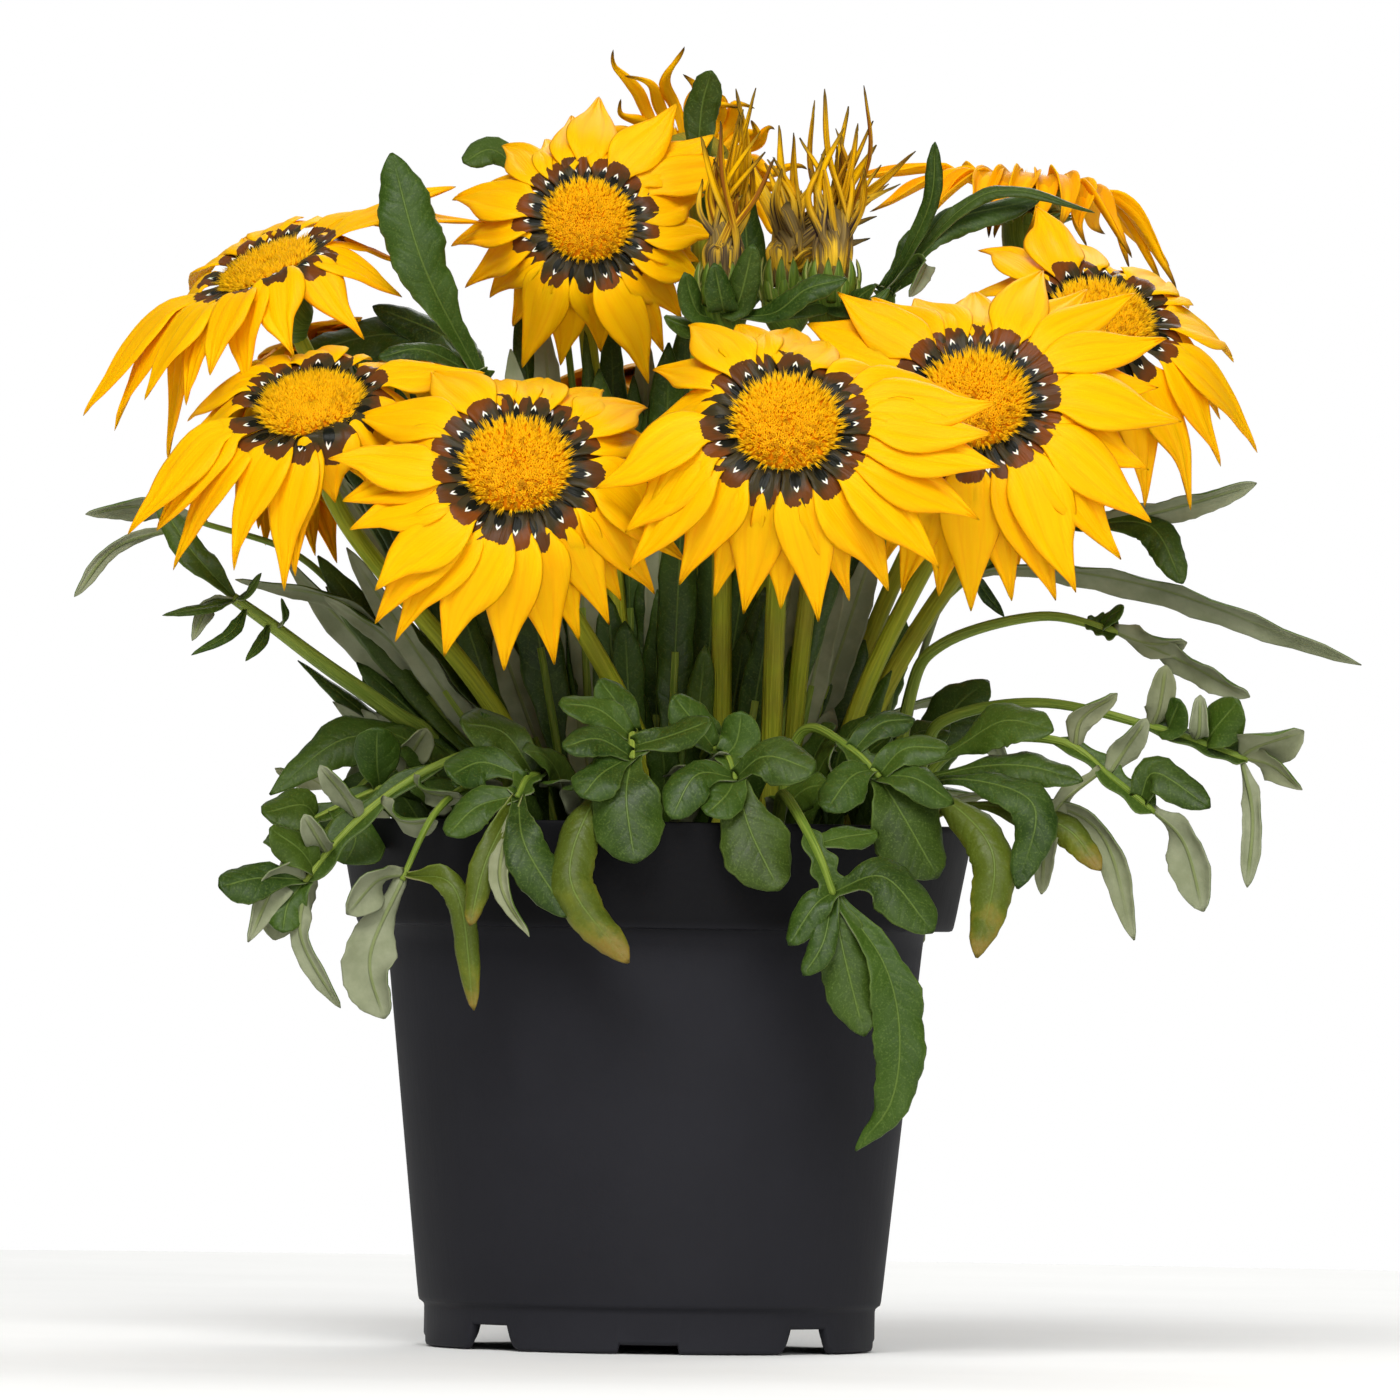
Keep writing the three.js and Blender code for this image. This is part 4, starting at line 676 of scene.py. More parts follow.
class Finish(Net):
    """The nodes of a material, and the shader that they feed."""

    def __init__(self, name, **constants):
        self.material = bpy.data.materials.new(name)
        self.material.use_nodes = True
        super().__init__(self.material.node_tree)
        self.shader = self.tree.nodes["Principled BSDF"]
        for label, value in constants.items():
            self.shader.inputs[label.replace("_", " ")].default_value = value

    def done(self, colour, roughness, height, depth):
        """The material, of a colour, a roughness and the height of a relief that is depth mm deep."""
        self.feed(self.shader.inputs["Base Color"], colour)
        self.feed(self.shader.inputs["Roughness"], roughness)
        bump = self.node("ShaderNodeBump")
        bump.inputs["Strength"].default_value = 1
        bump.inputs["Distance"].default_value = depth * MM
        self.feed(bump.inputs["Height"], height)
        self.tree.links.new(bump.outputs[0], self.shader.inputs["Normal"])
        return self.material


# ---------------------------------------------------------------- effects shared by the finishes
def make_streaks():
    """Fine lengthwise streaks of a petal, stalk or strap, and broad soft folds beside them."""
    net, (width, length, broad), give = effect(
        "lengthwise streaks", {"Width": 0.5, "Length": 8, "Broad": 4}, ["Streaks", "Folds"])
    x, y = net.map("place")
    seed = net.map("kind")[0] * 57
    streaks = net.noise(x / width, y / length, seed)
    folds = net.noise(x / broad, y / (broad * 5), seed + 9, 1)
    return give(net.step(streaks, 0.3, 0.7), net.step(folds, 0.32, 0.68))


def make_mottling():
    """Cloudy patches of a given size in mm, anywhere on a piece."""
    net, (size, spread), give = effect("mottling", {"Size": 6, "Spread": 0.2}, ["Patches"])
    x, y, z = (value * 1000 / size for value in net.spot())
    return give(net.step(net.noise(x, y, z, 4, 0.6), 0.5 - spread, 0.5 + spread))


def make_veins():
    """The midrib and the side veins of a leaf, and the swelling of the leaf between them."""
    net, (spacing, slant, rib), give = effect("leaf veins", {"Spacing": 3, "Slant": 0.9, "Rib": 0.45},
        ["Midrib", "Veins", "Swelling"])
    x, y = net.map("place")
    u, t = net.map("share")
    seed = net.map("kind")[0] * 31
    wander = net.noise(x / 4, y / 4, seed) * 0.9
    side_offset = net.math("GREATER_THAN", x, 0) * 0.5
    wave = net.math("FRACT", (y - abs(x) * slant) / spacing + side_offset + wander + seed)
    from_vein = abs(wave - 0.5) * 2  # 1 on a vein, 0 half way between
    inner = net.step(abs(u - 0.5), 0.5, 0.36)
    veins = net.step(from_vein, 0.86, 1.0) * inner
    midrib = net.step(abs(x), rib, rib * 0.35) * net.step(t, 0.98, 0.8)
    fine = net.noise(x * 1.3, y * 1.3, seed)
    swelling = net.step(from_vein, 1.0, 0.35) * inner * 0.7 + fine * 0.5
    return give(midrib, veins, swelling)


def make_grain():
    """Fine pimpled grain of a size in mm."""
    net, (size,), give = effect("fine grain", {"Size": 0.4}, ["Grain"])
    x, y, z = (value * 1000 / size for value in net.spot())
    return give(net.noise(x, y, z, 2, 0.6))


STREAKS, MOTTLING, VEINS, GRAIN = make_streaks(), make_mottling(), make_veins(), make_grain()


# ---------------------------------------------------------------- finishes of the blooms
# Light glows through a thin ray.
THIN = dict(Subsurface_Weight=0.3, Subsurface_Radius=(1, 0.55, 0.08), Subsurface_Scale=0.6 * MM)
MARK_START, MARK_LENGTH, MARK_HALF = 11.6, 5.5, 3.1  # mm along a ray from the bloom's middle, and across
FRESH, WITHERED_FROM = 1.0, 1.2  # shade up to which a ray is fresh, and from which it is withered


def petal_finish():
    """Silky golden yellow, and at the base the brown and olive mark with its white arrowhead."""
    net = Finish("petal face", Specular_IOR_Level=0.07, **THIN)
    x, y = net.map("place")
    u, t = net.map("share")
    seed, shade = net.map("kind")
    streaks, folds = net.use(STREAKS, Width=0.42, Length=11, Broad=3.2)
    # Painted shade and tone: rays of the lower layers turn more amber, as if shaded by those above, and
    # each ray also differs at random.
    shade_and_tone = shade * net.step(shade, WITHERED_FROM, FRESH)
    withered = net.step(shade, FRESH, WITHERED_FROM)
    # Painted shade: amber lines where the ray is folded, and along its edges towards the point.
    crease = net.step(abs(abs(u - 0.5) - 0.19), 0.05, 0.0)
    crease = crease * net.step(t, 0.34, 0.5) * net.step(t, 1.0, 0.75)
    edge = net.step(abs(u - 0.5), 0.34, 0.5) * net.step(t, 0.45, 0.8)
    # The amber of the broad folds, of the lower layers, of the creases and of the edges is painted shade.
    yellow = net.paint("ffba00",
        (streaks * 0.5, "ffc800"),
        (folds * 0.22 + shade_and_tone * 0.3, "ffa800"),
        (crease * 0.22 + edge * 0.5, "f08c00"),
        (net.step(t, 0.88, 1.0) * 0.5, "c98a00"),
        (withered * (folds * 0.5 + 0.25), "dd8e00"),
        (net.step(t, 0.8, 1.0) * withered, "4a3410"))
    # The mark runs from under the disc, s = 0, to its toothed outer edge, s = 1.
    s = (y - MARK_START) / MARK_LENGTH
    teeth = net.noise(x * 1.7, y * 0.6, seed * 40) - 0.5
    outer = net.math("MAXIMUM", s - 0.38, 0) / 0.62
    egg = abs(x / MARK_HALF) ** 4 * net.step(s, 0.0, 0.6) + outer ** 2.6 + teeth * 0.9
    mark = net.step(egg, 1.06, 0.96) * (1 - withered * 0.75)  # faint once withered
    blotch = net.noise(x * 0.6, y * 0.6, seed * 23)
    rusty = net.blend(seed, "56351a", "793f12")
    drop = net.step((x / 1.25) ** 2 + ((s - 0.14) / 0.3) ** 2, 1.1, 0.85)
    arrow = net.step(abs(s - (0.5 - abs(x) * 0.26)), 0.07, 0.04) * net.step(abs(x), 0.54, 0.4)
    brown = net.paint("3c341f",
        (net.step(s - x * 0.1 + (blotch - 0.5) * 0.6, 0.2, 0.75), rusty),
        (net.step(egg, 0.6, 1.0) * 0.45, "5c3c1c"),
        (drop, "15160d"),
        (arrow, "f3efdf"))
    gloss = net.step(mark, 0, 1, 0.5, 0.27)
    return net.done(net.blend(mark, yellow, brown), gloss, streaks * 0.4 + folds * 0.6 + mark * 0.8, 0.07)


def petal_back_finish():
    """The duller outer side of a ray, with a faint olive stripe."""
    net = Finish("petal back", Specular_IOR_Level=0.07, **THIN)
    u, t = net.map("share")
    shade = net.map("kind")[1]
    streaks, folds = net.use(STREAKS, Width=0.7, Length=14, Broad=3)
    shade_and_tone = shade * net.step(shade, WITHERED_FROM, FRESH)
    # Painted shade: more amber in the broad folds and on rays of the lower layers, which also differ in
    # tone at random.
    colour = net.paint("fdb600",
        (streaks * 0.4, "ffc400"),
        (folds * 0.25 + shade_and_tone * 0.3, "efa400"),
        (net.step(t, 0.8, 1.0) * net.step(shade, FRESH, WITHERED_FROM), "4a3410"),
        (net.step(abs(u - 0.5), 0.3, 0.05) * net.step(t, 0.8, 0.3) * 0.3, "8a7a1c"))
    return net.done(colour, 0.55, streaks, 0.05)


def hub_finish():
    """Olive and dull gold, streaked."""
    net = Finish("bloom hub", Specular_IOR_Level=0.3)
    streaks, _ = net.use(STREAKS, Width=0.8, Length=4, Broad=3)
    patches = net.use(MOTTLING, Size=3, Spread=0.2)
    return net.done(net.blend(streaks * 0.5 + patches * 0.3, "6d7a26", "b0922a"), 0.6, streaks, 0.1)


def floret_finish():
    """Golden florets, rusty in places and yellow at their points; their deeper orange low down between them
    is painted shade.
    """
    net = Finish("florets", Specular_IOR_Level=0.08)
    u, t = net.map("share")  # from the disc's middle to its rim; from a floret's foot to its points
    seed, rust_and_shade = net.map("kind")
    patches = net.use(MOTTLING, Size=5, Spread=0.16)
    # Painted shade: deeper orange low down between the florets. The rust also carries painted shade on the
    # lower rim of the disc.
    colour = net.paint("b87200",
        (net.step(t, 0.0, 0.6), "f6b600"),
        (net.step(t, 0.7, 1.0) * 0.6, "ffca18"),
        (net.step(u, 0.78, 0.98) * 0.6, "ffc810"),
        (rust_and_shade * (patches * 0.4 + 0.4), "9a5c00"),
        (seed * 0.25, "e6a200"))
    return net.done(colour, 0.6, seed, 0.02)


def disc_bed_finish():
    """Grainy orange under the florets."""
    net = Finish("disc bed", Specular_IOR_Level=0.05)
    grain = net.use(GRAIN, Size=0.5)
    return net.done(net.blend(grain, "b05c00", "e89400"), 0.8, grain, 0.2)


# ---------------------------------------------------------------- finishes of stems and leaves
def stem_finish():
    """Olive green, flushed with red in places, ridged and finely hairy."""
    net = Finish("flower stem", Specular_IOR_Level=0.12)
    t = net.map("share")[1]
    flush = net.map("kind")[1]
    streaks, folds = net.use(STREAKS, Width=0.5, Length=14, Broad=3)
    patches = net.use(MOTTLING, Size=16, Spread=0.22)
    colour = net.paint("7e8c18",
        (streaks * 0.6, "b2b630"),
        (patches * flush * 0.8, "846428"),
        (net.step(t, 0.3, 0.0) * 0.5, "9aa03a"))
    return net.done(colour, streaks * 0.15 + 0.42, streaks + folds * 0.5, 0.12)


def bract_finish():
    """The green cup's points, thin and pale along their edges."""
    net = Finish("bract", Specular_IOR_Level=0.15)
    u, t = net.map("share")
    streaks, _ = net.use(STREAKS, Width=0.4, Length=5, Broad=2)
    colour = net.paint("465f18",
        (streaks * 0.6, "6c842c"),
        (net.step(abs(u - 0.5), 0.34, 0.5) * 0.7, "a8a860"),
        (net.step(t, 0.8, 1.0) * 0.6, "6a4a20"))
    return net.done(colour, 0.5, streaks, 0.1)


def leaf_finish():
    """Dark glossy green with a pale midrib and faint side veins; old leaves yellow from the edge."""
    net = Finish("leaf face", Specular_IOR_Level=0.2)
    u, t = net.map("share")
    seed, age = net.map("kind")
    midrib, veins, swelling = net.use(VEINS, Spacing=3.4, Slant=0.85, Rib=0.28)
    patches = net.use(MOTTLING, Size=9, Spread=0.2)
    grain = net.use(GRAIN, Size=0.45)
    edge = net.step(abs(u - 0.5), 0.3, 0.5)
    old = net.step(age, 0.5, 0.8)
    worn = net.step(patches * 0.5 + edge * 0.3 + net.step(t, 0.6, 1.0) * 0.5, 0.45, 1.1) * old
    green = net.paint(net.blend(seed, "1b3008", "324a10"),
        (patches * 0.5, "425a1c"),
        (veins * 0.1, "6d8838"),
        (age * 0.7, "555e14"),
        (worn * 0.8, "78781c"),
        (net.step(t + patches * 0.1, 0.93, 1.04) * old, "7a6626"),
        (midrib * 0.42, "738a3c"),
        (net.step(grain, 0.5, 0.72) * 0.26, "70843e"),
        (net.step(abs(u - 0.5), 0.45, 0.49) * 0.3, "778c42"))
    return net.done(green, patches * 0.14 + 0.38, swelling * 0.6 - midrib * 0.9 + grain * 0.35, 0.12)


def felt_finish():
    """The grey-white felt of a leaf's underside, with its midrib green through it."""
    net = Finish("leaf underside", Specular_IOR_Level=0.1)
    seed, age = net.map("kind")
    midrib, veins, _ = net.use(VEINS, Spacing=2.9, Slant=0.85, Rib=0.5)
    grain = net.use(GRAIN, Size=0.55)
    patches = net.use(MOTTLING, Size=7, Spread=0.2)
    colour = net.paint("757b5c",
        (patches * 0.6 + seed * 0.2, "969a7e"),
        (veins * 0.07, "6a754f"),
        (midrib * 0.6, "6e7c3c"),
        (age * 0.5, "98904a"))
    return net.done(colour, 0.85, midrib * 1.2 + grain * 0.3 + veins * 0.05, 0.16)


def stalk_finish():
    """Leaf stalks and crowns, paler and yellower than the blades."""
    net = Finish("leaf stalk", Specular_IOR_Level=0.15)
    seed = net.map("kind")[0]
    streaks, _ = net.use(STREAKS, Width=0.4, Length=10, Broad=2)
    return net.done(net.blend(streaks * 0.6 + seed * 0.3, "567020", "8d9c3e"), 0.45, streaks, 0.12)


def withered_finish():
    """Spent rays: a dusky band low down, cream above it, then golden quills with brown edges."""
    net = Finish("withered ray", Specular_IOR_Level=0.08)
    u, t = net.map("share")
    seed, height = net.map("kind")  # height above the bloom's seat, in units of BUNDLE mm
    streaks, folds = net.use(STREAKS, Width=0.5, Length=16, Broad=1.4)
    ragged = height + (streaks - 0.5) * 0.14 + (seed - 0.5) * 0.2
    quill = net.paint("ecb400",
        (net.step(streaks * 0.5 + seed * 0.7, 0.5, 1.1), "8a5214"),
        (net.step(abs(u - 0.5), 0.25, 0.5) * 0.6, "6e3e10"))
    dusk = net.blend(streaks, "2c2028", "8a7440")
    colour = net.paint(net.blend(streaks * 0.6, "e8bc30", "a87c1c"),
        (net.step(ragged, 0.24, 0.42), quill),
        (net.step(ragged, 0.3, 0.16) * net.step(ragged, -0.05, 0.1), dusk),
        (net.step(t, 0.86, 1.0) * 0.8, "3e3a24"))
    return net.done(colour, 0.6, streaks + folds, 0.15)


# ---------------------------------------------------------------- finishes of pot, soil and floor
def pot_finish():
    """Near-black moulded plastic, satin, faintly dusty, with the drag lines of its mould, and painted shade
    on the rim band.
    """
    net = Finish("nursery pot", Specular_IOR_Level=0.08)
    x, y, z = (value * 1000 for value in net.spot())
    grain = net.use(GRAIN, Size=0.7)
    patches = net.use(MOTTLING, Size=28, Spread=0.22)
    drag = net.noise(x * 0.8, y * 0.8, z / 60, 3)
    dust = net.step(z + patches * 10, 16, 2) * 0.5 + patches * 0.25
    # Painted shade: the rim band above the step is darker, where the overhanging leaves shade it.
    shaded_rim_band = net.step(z, POT["step"] - 2, POT["step"] + 2)
    colour = net.paint("222226", (dust, "2b2b30"), (shaded_rim_band, "121214"))
    return net.done(colour, patches * 0.07 + drag * 0.06 + 0.5, grain * 0.5 + drag * 0.5, 0.05)


def peat_finish():
    """Damp dark peat."""
    net = Finish("peat", Specular_IOR_Level=0.2)
    grain = net.use(GRAIN, Size=0.9)
    patches = net.use(MOTTLING, Size=5, Spread=0.2)
    colour = net.paint("1d140d", (patches, "3b2a1b"), (grain * 0.5, "4d3a28"))
    return net.done(colour, 0.95, grain + patches, 0.8)


def chip_finish():
    """Crumbs and bark chips on the peat, each its own brown."""
    net = Finish("peat crumbs", Specular_IOR_Level=0.2)
    seed = net.map("kind")[0]
    grain = net.use(GRAIN, Size=0.5)
    colour = net.paint("1c130c", (seed, "5a4028"), (grain * 0.4, "6b5138"))
    return net.done(colour, 0.9, grain, 0.4)


def floor_finish():
    """Matt pale studio floor."""
    net = Finish("studio floor", Specular_IOR_Level=0.1)
    patches = net.use(MOTTLING, Size=120, Spread=0.3)
    grain = net.use(GRAIN, Size=1.5)
    return net.done(net.blend(patches, "f4f4f2", "f9f9f7"), 0.9, grain, 0.02)


PETAL, PETAL_BACK, HUB, FLORET, DISC_BED = (petal_finish(), petal_back_finish(), hub_finish(),
    floret_finish(), disc_bed_finish())
STEM, BRACT, LEAF, FELT, STALK, WITHERED = (stem_finish(), bract_finish(), leaf_finish(), felt_finish(),
    stalk_finish(), withered_finish())
POT_PLASTIC, PEAT, CHIPS = pot_finish(), peat_finish(), chip_finish()


# ---------------------------------------------------------------- rays
PETAL_OUTLINE = [(0, 0.28), (0.165, 0.39), (0.26, 0.45), (0.33, 0.68), (0.42, 0.94), (0.5, 1),
    (0.58, 0.94), (0.68, 0.75), (0.78, 0.51), (0.89, 0.25), (1, 0.02)]
FULLER = 1.2  # how much wider a ray is than its solid
CUPPED = [(0, 0.6), (0.12, 0.4), (0.2, 0.7), (0.36, 1.9), (0.5, 1.5), (0.7, 0.5), (0.88, 0), (1, 0)]
HELD = [(0, 1), (0.36, 1), (0.6, 0.4), (0.85, 0), (1, 0)]  # how far the rows lie close together
SWEPT = [(0, 1), (0.3, 1), (0.55, 0.4), (0.78, 0), (1, 0)]  # rays start evenly spaced, then lean over
MOST_SWEPT = 0.17  # radians
PETAL_ROWS = 1 - (1 - np.linspace(0, 1, 24)) ** 1.12
PETAL_ACROSS = np.array([-1, -0.93, -0.72, -0.5, -0.3, 0, 0.3, 0.5, 0.72, 0.93, 1])
CREASES = [(-1.3, -0.3), (-0.95, -0.1), (-0.72, 0.2), (-0.52, -0.02), (-0.38, -0.24), (-0.18, 0.06),
    (0, 0.18), (0.18, 0.06), (0.38, -0.24), (0.52, -0.02), (0.72, 0.2), (0.95, -0.1), (1.3, -0.3)]
WIDEST_GAP = 0.34  # radians between two rays, before another fills in behind them
SLIM = 0.7  # width of a slim ray beside the others
LAYERS = 3
SMOOTHINGS = 3  # passes over the drops of neighbouring rays
ROLLED = {"8": 0.62, "9": 1}  # blooms past their best, and how far their rays are rolled in


def across_face(bloom):
    """The middle of a bloom, two directions across its face, and the way it looks."""
    n = unit(vec(*bloom["face"]))
    a = unit(np.cross(n, vec(0.02, 1, 0.1)))
    return vec(*bloom["at"]), a, np.cross(n, a), n


def ray_tips(bloom, index):
    """Ray tips from the middle of the bloom, and whether their depth is given."""
    if "tips" in bloom:
        made = []
        for x, z, *y in bloom["tips"]:
            behind = math.sqrt(max(0, bloom["length"] ** 2 - x * x - z * z))
            made.append((vec(x, y[0] if y else behind, z), bool(y)))
        return made
    n = unit(vec(*bloom["face"]))
    a = unit(np.cross(n, UP))
    b = np.cross(n, a)
    made = []
    for k in range(BACK_RAYS):
        turn = (k + 0.5 * draw(index * 31 + k)) / BACK_RAYS * TURN
        fall = 0.44 + 0.1 * math.sin(2 * turn + index) + 0.08 * draw(index * 57 + k)
        far = bloom["length"] * (0.9 + 0.16 * draw(index * 91 + k))
        outer = outward(turn, far * math.cos(fall), a, b)
        made.append((outer - n * (far * math.sin(fall)), True))
    return made


def ray_curve(bloom, tip, layer):
    """Middle line of a ray: out from the hub in its layer, then over to its tip."""
    n, at, k = unit(vec(*bloom["face"])), vec(*bloom["at"]), bloom["scale"]
    out = unit(flattened(tip, n))
    level = (-0.3 - LAYER * layer) * k
    start = at + out * (RAY_START * k) + n * level
    arch = bloom.get("arch", 0) * max(0.3, -out[1])
    bend = at + out * max(15, 0.62 * tip.dot(out)) + n * (level + 1.5 + arch - 0.03 * abs(tip.dot(n)))
    return bezier(start, bend, at + tip), np.cross(out, n)


def swept(curve, middle, n, angle):
    """The same curve with its inner part turned round the bloom's axis."""
    def at(t):
        p = curve(t) - middle
        up = n * p.dot(n)
        turn = angle * float(eased(SWEPT, t))
        return middle + up + (p - up) * math.cos(turn) + np.cross(n, p) * math.sin(turn)
    return at


def wavering(curve, side, chance):
    """The same curve swinging from side to side towards its end, as a withering ray does."""
    return lambda t: curve(t) + side * (3.2 * t * t * math.sin(7 * t + 6 * chance))


def own_rays(bloom, index, a, b, n):
    """The bloom's own rays, in order round it.

    Neighbouring rays fall away alike: where no depth is given, it follows from the smoothed drop.
    """
    faces_front = n[1] < -0.5
    rays = [dict(tip=tip, turn=math.atan2(tip.dot(b), tip.dot(a)), drop=tip.dot(n),
        free=faces_front and not fixed, slim=SLIM if i in bloom.get("slim", ()) else 1)
        for i, (tip, fixed) in enumerate(ray_tips(bloom, index))]
    rays.sort(key=lambda ray: ray["turn"])
    for _ in range(SMOOTHINGS):
        drops = [ray["drop"] for ray in rays]
        for i, ray in enumerate(rays):
            if ray["free"]:
                ray["drop"] = 0.4 * drops[i] + 0.3 * (drops[i - 1] + drops[(i + 1) % len(drops)])
    for ray in rays:
        if ray["free"]:
            ray["tip"][1] = (ray["drop"] - n[0] * ray["tip"][0] - n[2] * ray["tip"][2]) / n[1]
    return rays


def filled(rays, bloom, index):
    """The same rays, and one more behind them wherever two stand far apart."""
    more = []
    for i, (ray, after) in enumerate(zip(rays, [*rays[1:], rays[0]])):
        gap = (after["turn"] - ray["turn"]) % TURN
        if gap > bloom.get("gap", WIDEST_GAP):
            tip = unit(ray["tip"] + after["tip"]) * np.linalg.norm(ray["tip"])
            more.append(dict(tip=tip * (0.84 + 0.1 * draw(index + i)), layer=LAYERS - 1,
                turn=(ray["turn"] + gap / 2 + math.pi) % TURN - math.pi))
    return sorted([*rays, *more], key=lambda ray: ray["turn"])


def make_rays(bloom, index):
    """The ring of rays, each in the layer that has waited longest for one, and the hub under them."""
    middle, a, b, n = across_face(bloom)
    k = bloom["scale"]
    rays = filled(own_rays(bloom, index, a, b, n), bloom, index)
    rolled = ROLLED.get(bloom["name"], 0)
    petals = Piece()
    last = [-9.0] * LAYERS  # where the last ray of each layer stands, at first before them all
    even = [i / len(rays) * TURN for i in range(len(rays))]
    first = sum(ray["turn"] - turn for ray, turn in zip(rays, even)) / len(rays)
    for i, ray in enumerate(rays):
        layer = ray.get("layer", last.index(min(last)))
        last[layer] = ray["turn"]
        over = np.clip(first + even[i] - ray["turn"], -MOST_SWEPT, MOST_SWEPT)
        curve, side = ray_curve(bloom, ray["tip"] - n * (LAYER * layer), layer)
        width = PETAL_WIDTH * k * (1 - 0.05 * layer) * (0.9 + 0.2 * draw(index * 17 + i))
        line = swept(curve, middle, n, over)
        if rolled:
            line = wavering(line, side * rolled, draw(index * 23 + i))
        add_ray(petals, line, np.cross(side, direction(curve, 0.4)), width * ray.get("slim", 1), layer, k,
            index * 40 + i, rolled)
    turned(petals, (middle, a, b, n), [(r * HUB_R * k, h * k) for r, h in
        ((0.3, HUB_BOTTOM), (0.74, HUB_BOTTOM), (0.81, HUB_BOTTOM + 0.4), (0.98, HUB_TOP - 0.4),
        (0.95, HUB_TOP), (0.3, HUB_TOP))], CUP_SIDES, 2)
    petals.make("petals_" + bloom["name"], "petal", [PETAL, PETAL_BACK, HUB], "rays_" + bloom["name"])


def add_ray(petals, curve, facing, width, layer, k, seed, rolled):
    """One ray: narrow and marked at its base, folded lengthwise, and pinched to its point."""
    r = [draw(seed * 3.7 + j) for j in range(10)]
    t, u = PETAL_ROWS, PETAL_ACROSS
    sway = 0.04 * np.sin(t[:, None] * (7 + 5 * r[0]) + 9 * r[1] + np.where(u < 0, 2, 0))
    half = FULLER * width / 2 * eased(PETAL_OUTLINE, t)[:, None] * (1 + sway)
    beak = 0.5 + 1.3 * r[2] if r[3] > 0.25 else -0.5
    curl = eased([(0, 0.25), (0.3, 0.1), (0.55, -0.25 + 0.3 * r[4]), (0.85, 0.3 * beak), (1, beak)], t)
    twist = (r[9] - 0.5) * 0.5 * eased([(0, 0), (0.35, 0.1), (1, 1)], t)
    if rolled:
        half = half * (1 - 0.5 * rolled)
        curl = rolled * eased([(0, 0.3), (0.25, 0.9), (0.4, 2.0), (1, 2.5)], t)
        twist = twist * (1 + 4 * rolled)
    lean = 1 + (r[5] - 0.5) * 0.9 * np.sign(u) * eased([(0, 0), (0.4, 0.4), (1, 1)], t)[:, None]
    fade = eased([(0, 0), (0.3, 0.3), (0.5, 1), (0.85, 0.8), (1, 0)], t)[:, None]
    folds = (1.5 + 1.5 * r[6]) * eased(CREASES, u + 0.25 * (r[7] - 0.5)) * fade * width / PETAL_WIDTH
    ripple = 0.35 * np.sin(t[:, None] * 11 + 6 * r[8]) * u ** 2 * fade
    level = (eased(CUPPED, t) + (LAYER - 0.3) * layer * eased(HELD, t)) * k
    # shade: painted shade for rays of the lower layers, with a random tone; 1.3 marks the rays of a
    # withered bloom.
    shade = 1.3 if rolled else 0.2 * layer + 0.35 * draw(seed * 2.1)
    blade(petals, curve, facing, t, u, half, curl[:, None] * lean, PETAL_THICK, (draw(seed * 1.3), shade),
        folds + ripple + level[:, None], twist, start=RAY_START, scale=k)


# ---------------------------------------------------------------- disc
DOME = [(0, 0.15), (0.1, 0.22), (0.3, 0.32), (0.55, 0.34), (0.75, 0.3), (0.9, 0.2), (1, 0.06)]
BED = 0.86  # where the bed of florets ends, the points of the outermost lie beyond it
FLORET_TURN = 2.39996  # radians from one floret to the next, as in a sunflower
FULL_SIZE_COUNT = 380  # florets are smaller where more than these share a disc, and larger where fewer
# From the disc's middle to its rim: how a floret leans out, in radians, and its width and height.
FLORET_LEAN = [(0, -0.1), (0.3, 0.1), (0.7, 0.4), (0.88, 0.68), (1, 1.05)]
FLORET_WIDE = [(0, 0.62), (0.2, 0.8), (0.6, 1), (0.85, 0.85), (1, 0.6)]
FLORET_TALL = [(0, 0.6), (0.3, 0.85), (0.7, 1), (0.88, 1.3), (1, SPIKE_LENGTH / FLORET_HEIGHT)]


def floret_form():
    """Points and faces of one floret of unit size: a small cup that opens into five upright points."""
    five = all_round(5)

    def ring(turns, r, z):
        return np.stack([np.cos(turns) * r, np.sin(turns) * r, np.full(5, z)], -1)

    foot, points, gaps = ring(five, 0.42, -0.5), ring(five, 1, 1), ring(five + TURN / 10, 0.55, 0.45)
    inner = ring(five, 0.3, 0.35)
    faces = []
    for i in range(5):
        j = (i + 1) % 5
        faces += [(i, 10 + i, 5 + i), (i, j, 10 + i), (j, 5 + j, 10 + i)]
        faces += [(5 + i, 10 + i, 15 + i), (10 + i, 5 + j, 15 + j), (10 + i, 15 + j, 15 + i)]
    faces += [(15, 16, 17), (15, 17, 18), (15, 18, 19), (0, 2, 1), (0, 3, 2), (0, 4, 3)]
    height = np.repeat([0, 1, 0.55, 0.2], 5)
    return np.concatenate([foot, points, gaps, inner]), np.array(faces), height


FLORET_POINTS, FLORET_FACES, FLORET_SHARE = floret_form()


